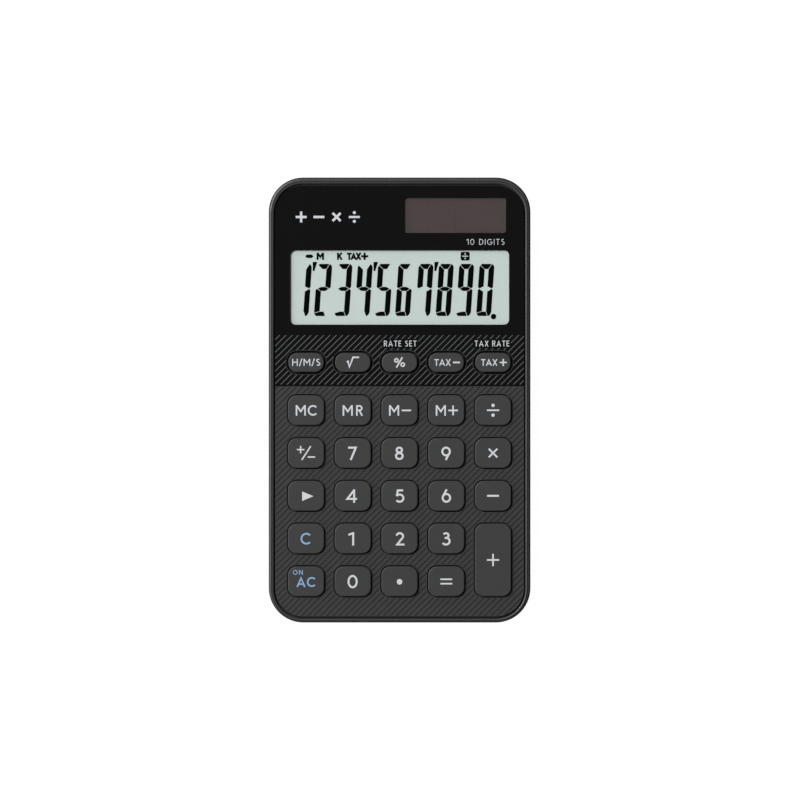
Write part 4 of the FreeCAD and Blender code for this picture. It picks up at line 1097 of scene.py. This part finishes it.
def add_panel_prints():
    """Everything printed on the display panel, and the painted highlight round its key holes."""
    add_stripes(add_panel_words() + add_hole_ring_highlights())
    add_panel_signs()
    add_panel_note()


# Under the keys --------------------------------------------------------------------------

SHEET_THICKNESS = 0.5
SHEET_CORNER = 3.0
BOSS_OPENING = 1.7
SCREW_SPREAD = 4.0
DOME_BASE = 3.5
DOME_COLLAR = 2.2
DOME_WALL = 0.4
DOME_ROOF = 0.3
PILL_RADIUS = 1.6
PILL_BOTTOM = 3.54
PILL_GAP = 0.02
COMB_RADIUS = 2.5
COMB_LINE = 0.25
FINGER_PITCH = 0.8
FINGER_SHIFT = 0.35
FINGER_WIDTH = 0.34
FINGER_LENGTH = 2.7
PLATING = 0.03
BEAD_RADIUS = 0.75
BEAD_HEIGHT = 0.5

# Turned shapes stop this far from their axis.
AXIS = 0.001
TURN_STEPS = 40
SHARP_ANGLE = 40


def turned(name, profile, x, y, material, body):
    """A closed profile of (radius, height) points turned about an upright axis at x, y."""
    points = []
    for step in range(TURN_STEPS):
        angle = 2 * math.pi * step / TURN_STEPS
        across, along = math.cos(angle) * MM, math.sin(angle) * MM
        points += [(x * MM + r * across, y * MM + r * along, z * MM) for r, z in profile]
    count = len(profile)
    faces = []
    for step in range(TURN_STEPS):
        here, there = step * count, (step + 1) % TURN_STEPS * count
        for i in range(count):
            j = (i + 1) % count
            faces.append((here + i, there + i, there + j, here + j))
    piece = add_piece(name, points, faces, material, body)
    piece.data.shade_smooth()
    piece.data.set_sharp_from_angle(angle=math.radians(SHARP_ANGLE))
    return piece


def dome_places():
    """The key node, X and Y of each dome."""
    return [(node, middle_mm(node).x, middle_mm(node).y) for node in KEY_NODES]


def screw_places():
    """The X and Y of every screw. No screw is as wide as SCREW_SPREAD, and no two as close."""
    places = []
    for node in ("board_screws", "case_screws"):
        corners = [v.co.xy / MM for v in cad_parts[node].data.vertices]
        while corners:
            first = corners[0]
            near = [c for c in corners if (c - first).length < SCREW_SPREAD]
            corners = [c for c in corners if (c - first).length >= SCREW_SPREAD]
            x = (min(c.x for c in near) + max(c.x for c in near)) / 2
            y = (min(c.y for c in near) + max(c.y for c in near)) / 2
            places.append((x, y))
    return places


def add_rubber_sheet():
    """The flat part of the rubber sheet, open under the domes and round the screw bosses."""
    low, high = box_mm("rubber_dome_sheet")
    middle = (low + high) / 2
    outline = rounded(middle.x, middle.y, high.x - low.x, high.y - low.y, SHEET_CORNER)
    openings = [dot(x, y, DOME_BASE - DOME_WALL)[0] for _, x, y in dome_places()]
    openings += [dot(x, y, BOSS_OPENING)[0] for x, y in screw_places()]
    top = low.z + SHEET_THICKNESS
    sheet = flat_solid("rubber_sheet", [outline], low.z, top, RUBBER, "case", holes=openings)
    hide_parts("rubber_dome_sheet")


def dome_profile(bottom, top):
    """Half of a hollow dome's section, between two levels."""
    slope = (DOME_BASE - DOME_COLLAR) / (top - bottom)
    roof = top - DOME_ROOF
    inner_collar = DOME_BASE - DOME_WALL - slope * (roof - bottom)
    return [
        (DOME_BASE - DOME_WALL, bottom),
        (DOME_BASE, bottom),
        (DOME_BASE - 0.12, bottom + 0.2),
        (DOME_COLLAR + slope * 0.45, top - 0.45),
        (DOME_COLLAR + 0.05, top - 0.15),
        (DOME_COLLAR - 0.1, top),
        (AXIS, top),
        (AXIS, roof),
        (inner_collar, roof),
    ]


def pill_profile(top):
    """Half of a carbon pill's section."""
    return [
        (AXIS, PILL_BOTTOM),
        (PILL_RADIUS - 0.1, PILL_BOTTOM),
        (PILL_RADIUS, PILL_BOTTOM + 0.1),
        (PILL_RADIUS, top),
        (AXIS, top),
    ]


def add_domes():
    """A dome under each key, with a mesh of its own, and the pill in it, which moves with the key."""
    low, high = box_mm("rubber_dome_sheet")
    base = low.z + SHEET_THICKNESS
    shell = dome_profile(base, high.z)
    pill = pill_profile(high.z - DOME_ROOF - PILL_GAP)
    for node, x, y in dome_places():
        dome = turned(f"dome_{node}", shell, x, y, RUBBER, "case")
        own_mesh(dome)
        turned(f"pill_{node}", pill, x, y, CARBON, f"{node}_body")


def add_board_contacts():
    """A comb of contacts in a ring under each key."""
    combs = []
    for _, x, y in dome_places():
        combs += ribbon(arc(x, y, COMB_RADIUS, COMB_RADIUS, 0, 360, 28), COMB_LINE)
        for finger in range(-2, 3):
            middle_y = y + (FINGER_SHIFT if finger % 2 else -FINGER_SHIFT)
            middle_x = x + finger * FINGER_PITCH
            combs.append(rectangle(middle_x, middle_y, FINGER_WIDTH, FINGER_LENGTH))
    top = box_mm("main_board")[1].z
    flat_solid("board_contacts", combs, top - PRINT_SINK, top + PLATING, GOLD, "case")


def add_solder():
    """A bead of solder where each lead meets the board."""
    top = box_mm("main_board")[1].z
    bead = [
        (AXIS, top),
        (BEAD_RADIUS, top),
        (0.62, top + 0.2),
        (0.42, top + 0.38),
        (AXIS, top + BEAD_HEIGHT),
    ]
    for lead in ("solar_wire_red", "solar_wire_black"):
        x = middle_mm(lead).x
        y = box_mm(lead)[0].y + 0.35
        turned(f"solder_{lead}", bead, x, y, SOLDER, "case")


add_legends()
add_display()
add_panel_prints()
add_rubber_sheet()
add_domes()
add_board_contacts()
add_solder()


# Studio ----------------------------------------------------------------------------------

# Places and sizes in the studio are metres. The lens and its sensor are millimetres.
FRAME_WIDTH = 0.213
CAMERA_X = 0.00012
LENS = 600.0
SENSOR = 36.0
CAMERA_REACH = 20
KEY_LIGHT_PLACE = (-0.9, 0.55, 1.9)
KEY_LIGHT_SIZE = 0.6
KEY_LIGHT_POWER = 48.3
WORLD_BRIGHT_SIDE = (-0.97, 0.24, 0.0)
WORLD_BY_SIDE = ((0.0, 0.02), (0.45, 0.1), (0.7, 0.36), (1.0, 1.0))
WORLD_BY_HEIGHT = ((0.0, 0.1), (0.45, 0.2), (0.55, 1.0), (0.85, 0.9), (0.97, 0.1), (1.0, 0.06))
WORLD_STRENGTH = 2.8
FLOOR_REACH = 3.0
FLOOR_LEVEL = -0.00003


def add_camera():
    """A long lens looking straight down, with +Y up in the picture."""
    data = bpy.data.cameras.new("camera")
    data.lens = LENS
    data.sensor_width = SENSOR
    data.clip_end = CAMERA_REACH
    camera = bpy.data.objects.new("camera", data)
    camera.location = (CAMERA_X, 0, FRAME_WIDTH * LENS / SENSOR + PANEL_TOP * MM)
    bpy.context.scene.collection.objects.link(camera)
    bpy.context.scene.camera = camera


def add_key_light():
    """A soft box aimed at the middle of the object."""
    data = bpy.data.lights.new("key_light", "AREA")
    data.size = KEY_LIGHT_SIZE
    data.energy = KEY_LIGHT_POWER
    light = bpy.data.objects.new("key_light", data)
    light.location = KEY_LIGHT_PLACE
    light.rotation_euler = (-Vector(KEY_LIGHT_PLACE)).to_track_quat("-Z", "Y").to_euler()
    bpy.context.scene.collection.objects.link(light)


def from_signed(tree, value):
    """Maps a value from -1..1 to 0..1."""
    node = tree.nodes.new("ShaderNodeMapRange")
    node.inputs["From Min"].default_value = -1.0
    tree.links.new(value, node.inputs["Value"])
    return node.outputs["Result"]


def grey_ramp(tree, value, stops):
    """A ramp through stops of position and brightness."""
    ramp = tree.nodes.new("ShaderNodeValToRGB")
    elements = ramp.color_ramp.elements
    while len(elements) < len(stops):
        elements.new(0.5)
    for element, (position, _) in zip(elements, stops):
        element.position = position
    for element, (_, grey) in zip(elements, stops):
        element.color = (grey, grey, grey, 1)
    tree.links.new(value, ramp.inputs[0])
    return ramp.outputs[0]


def add_world():
    """A studio that is bright to the left, dim to the right, and dark overhead and below."""
    world = bpy.data.worlds.new("studio")
    bpy.context.scene.world = world
    world.use_nodes = True
    tree = world.node_tree
    direction = tree.nodes.new("ShaderNodeTexCoord").outputs["Generated"]
    split = tree.nodes.new("ShaderNodeSeparateXYZ")
    tree.links.new(direction, split.inputs[0])
    side = tree.nodes.new("ShaderNodeVectorMath")
    side.operation = "DOT_PRODUCT"
    tree.links.new(direction, side.inputs[0])
    side.inputs[1].default_value = WORLD_BRIGHT_SIDE
    by_side = grey_ramp(tree, from_signed(tree, side.outputs["Value"]), WORLD_BY_SIDE)
    by_height = grey_ramp(tree, from_signed(tree, split.outputs["Z"]), WORLD_BY_HEIGHT)
    both = tree.nodes.new("ShaderNodeVectorMath")
    both.operation = "MULTIPLY"
    tree.links.new(by_side, both.inputs[0])
    tree.links.new(by_height, both.inputs[1])
    background = tree.nodes["Background"]
    tree.links.new(both.outputs[0], background.inputs["Color"])
    background.inputs["Strength"].default_value = WORLD_STRENGTH


def add_floor():
    """A wide pale floor a hair below the object."""
    mesh = bpy.data.meshes.new("floor")
    corners = [(x, y, FLOOR_LEVEL) for x, y in rectangle(0, 0, FLOOR_REACH, FLOOR_REACH)]
    mesh.from_pydata(corners, [], [(0, 1, 2, 3)])
    mesh.materials.append(light_table("floor_pale"))
    floor = bpy.data.objects.new("floor", mesh)
    bpy.context.scene.collection.objects.link(floor)
    floor.visible_diffuse = False
    floor.visible_glossy = False
    floor.visible_shadow = False


add_camera()
add_world()
add_floor()
add_key_light()
bpy.context.scene.view_settings.view_transform = "Standard"
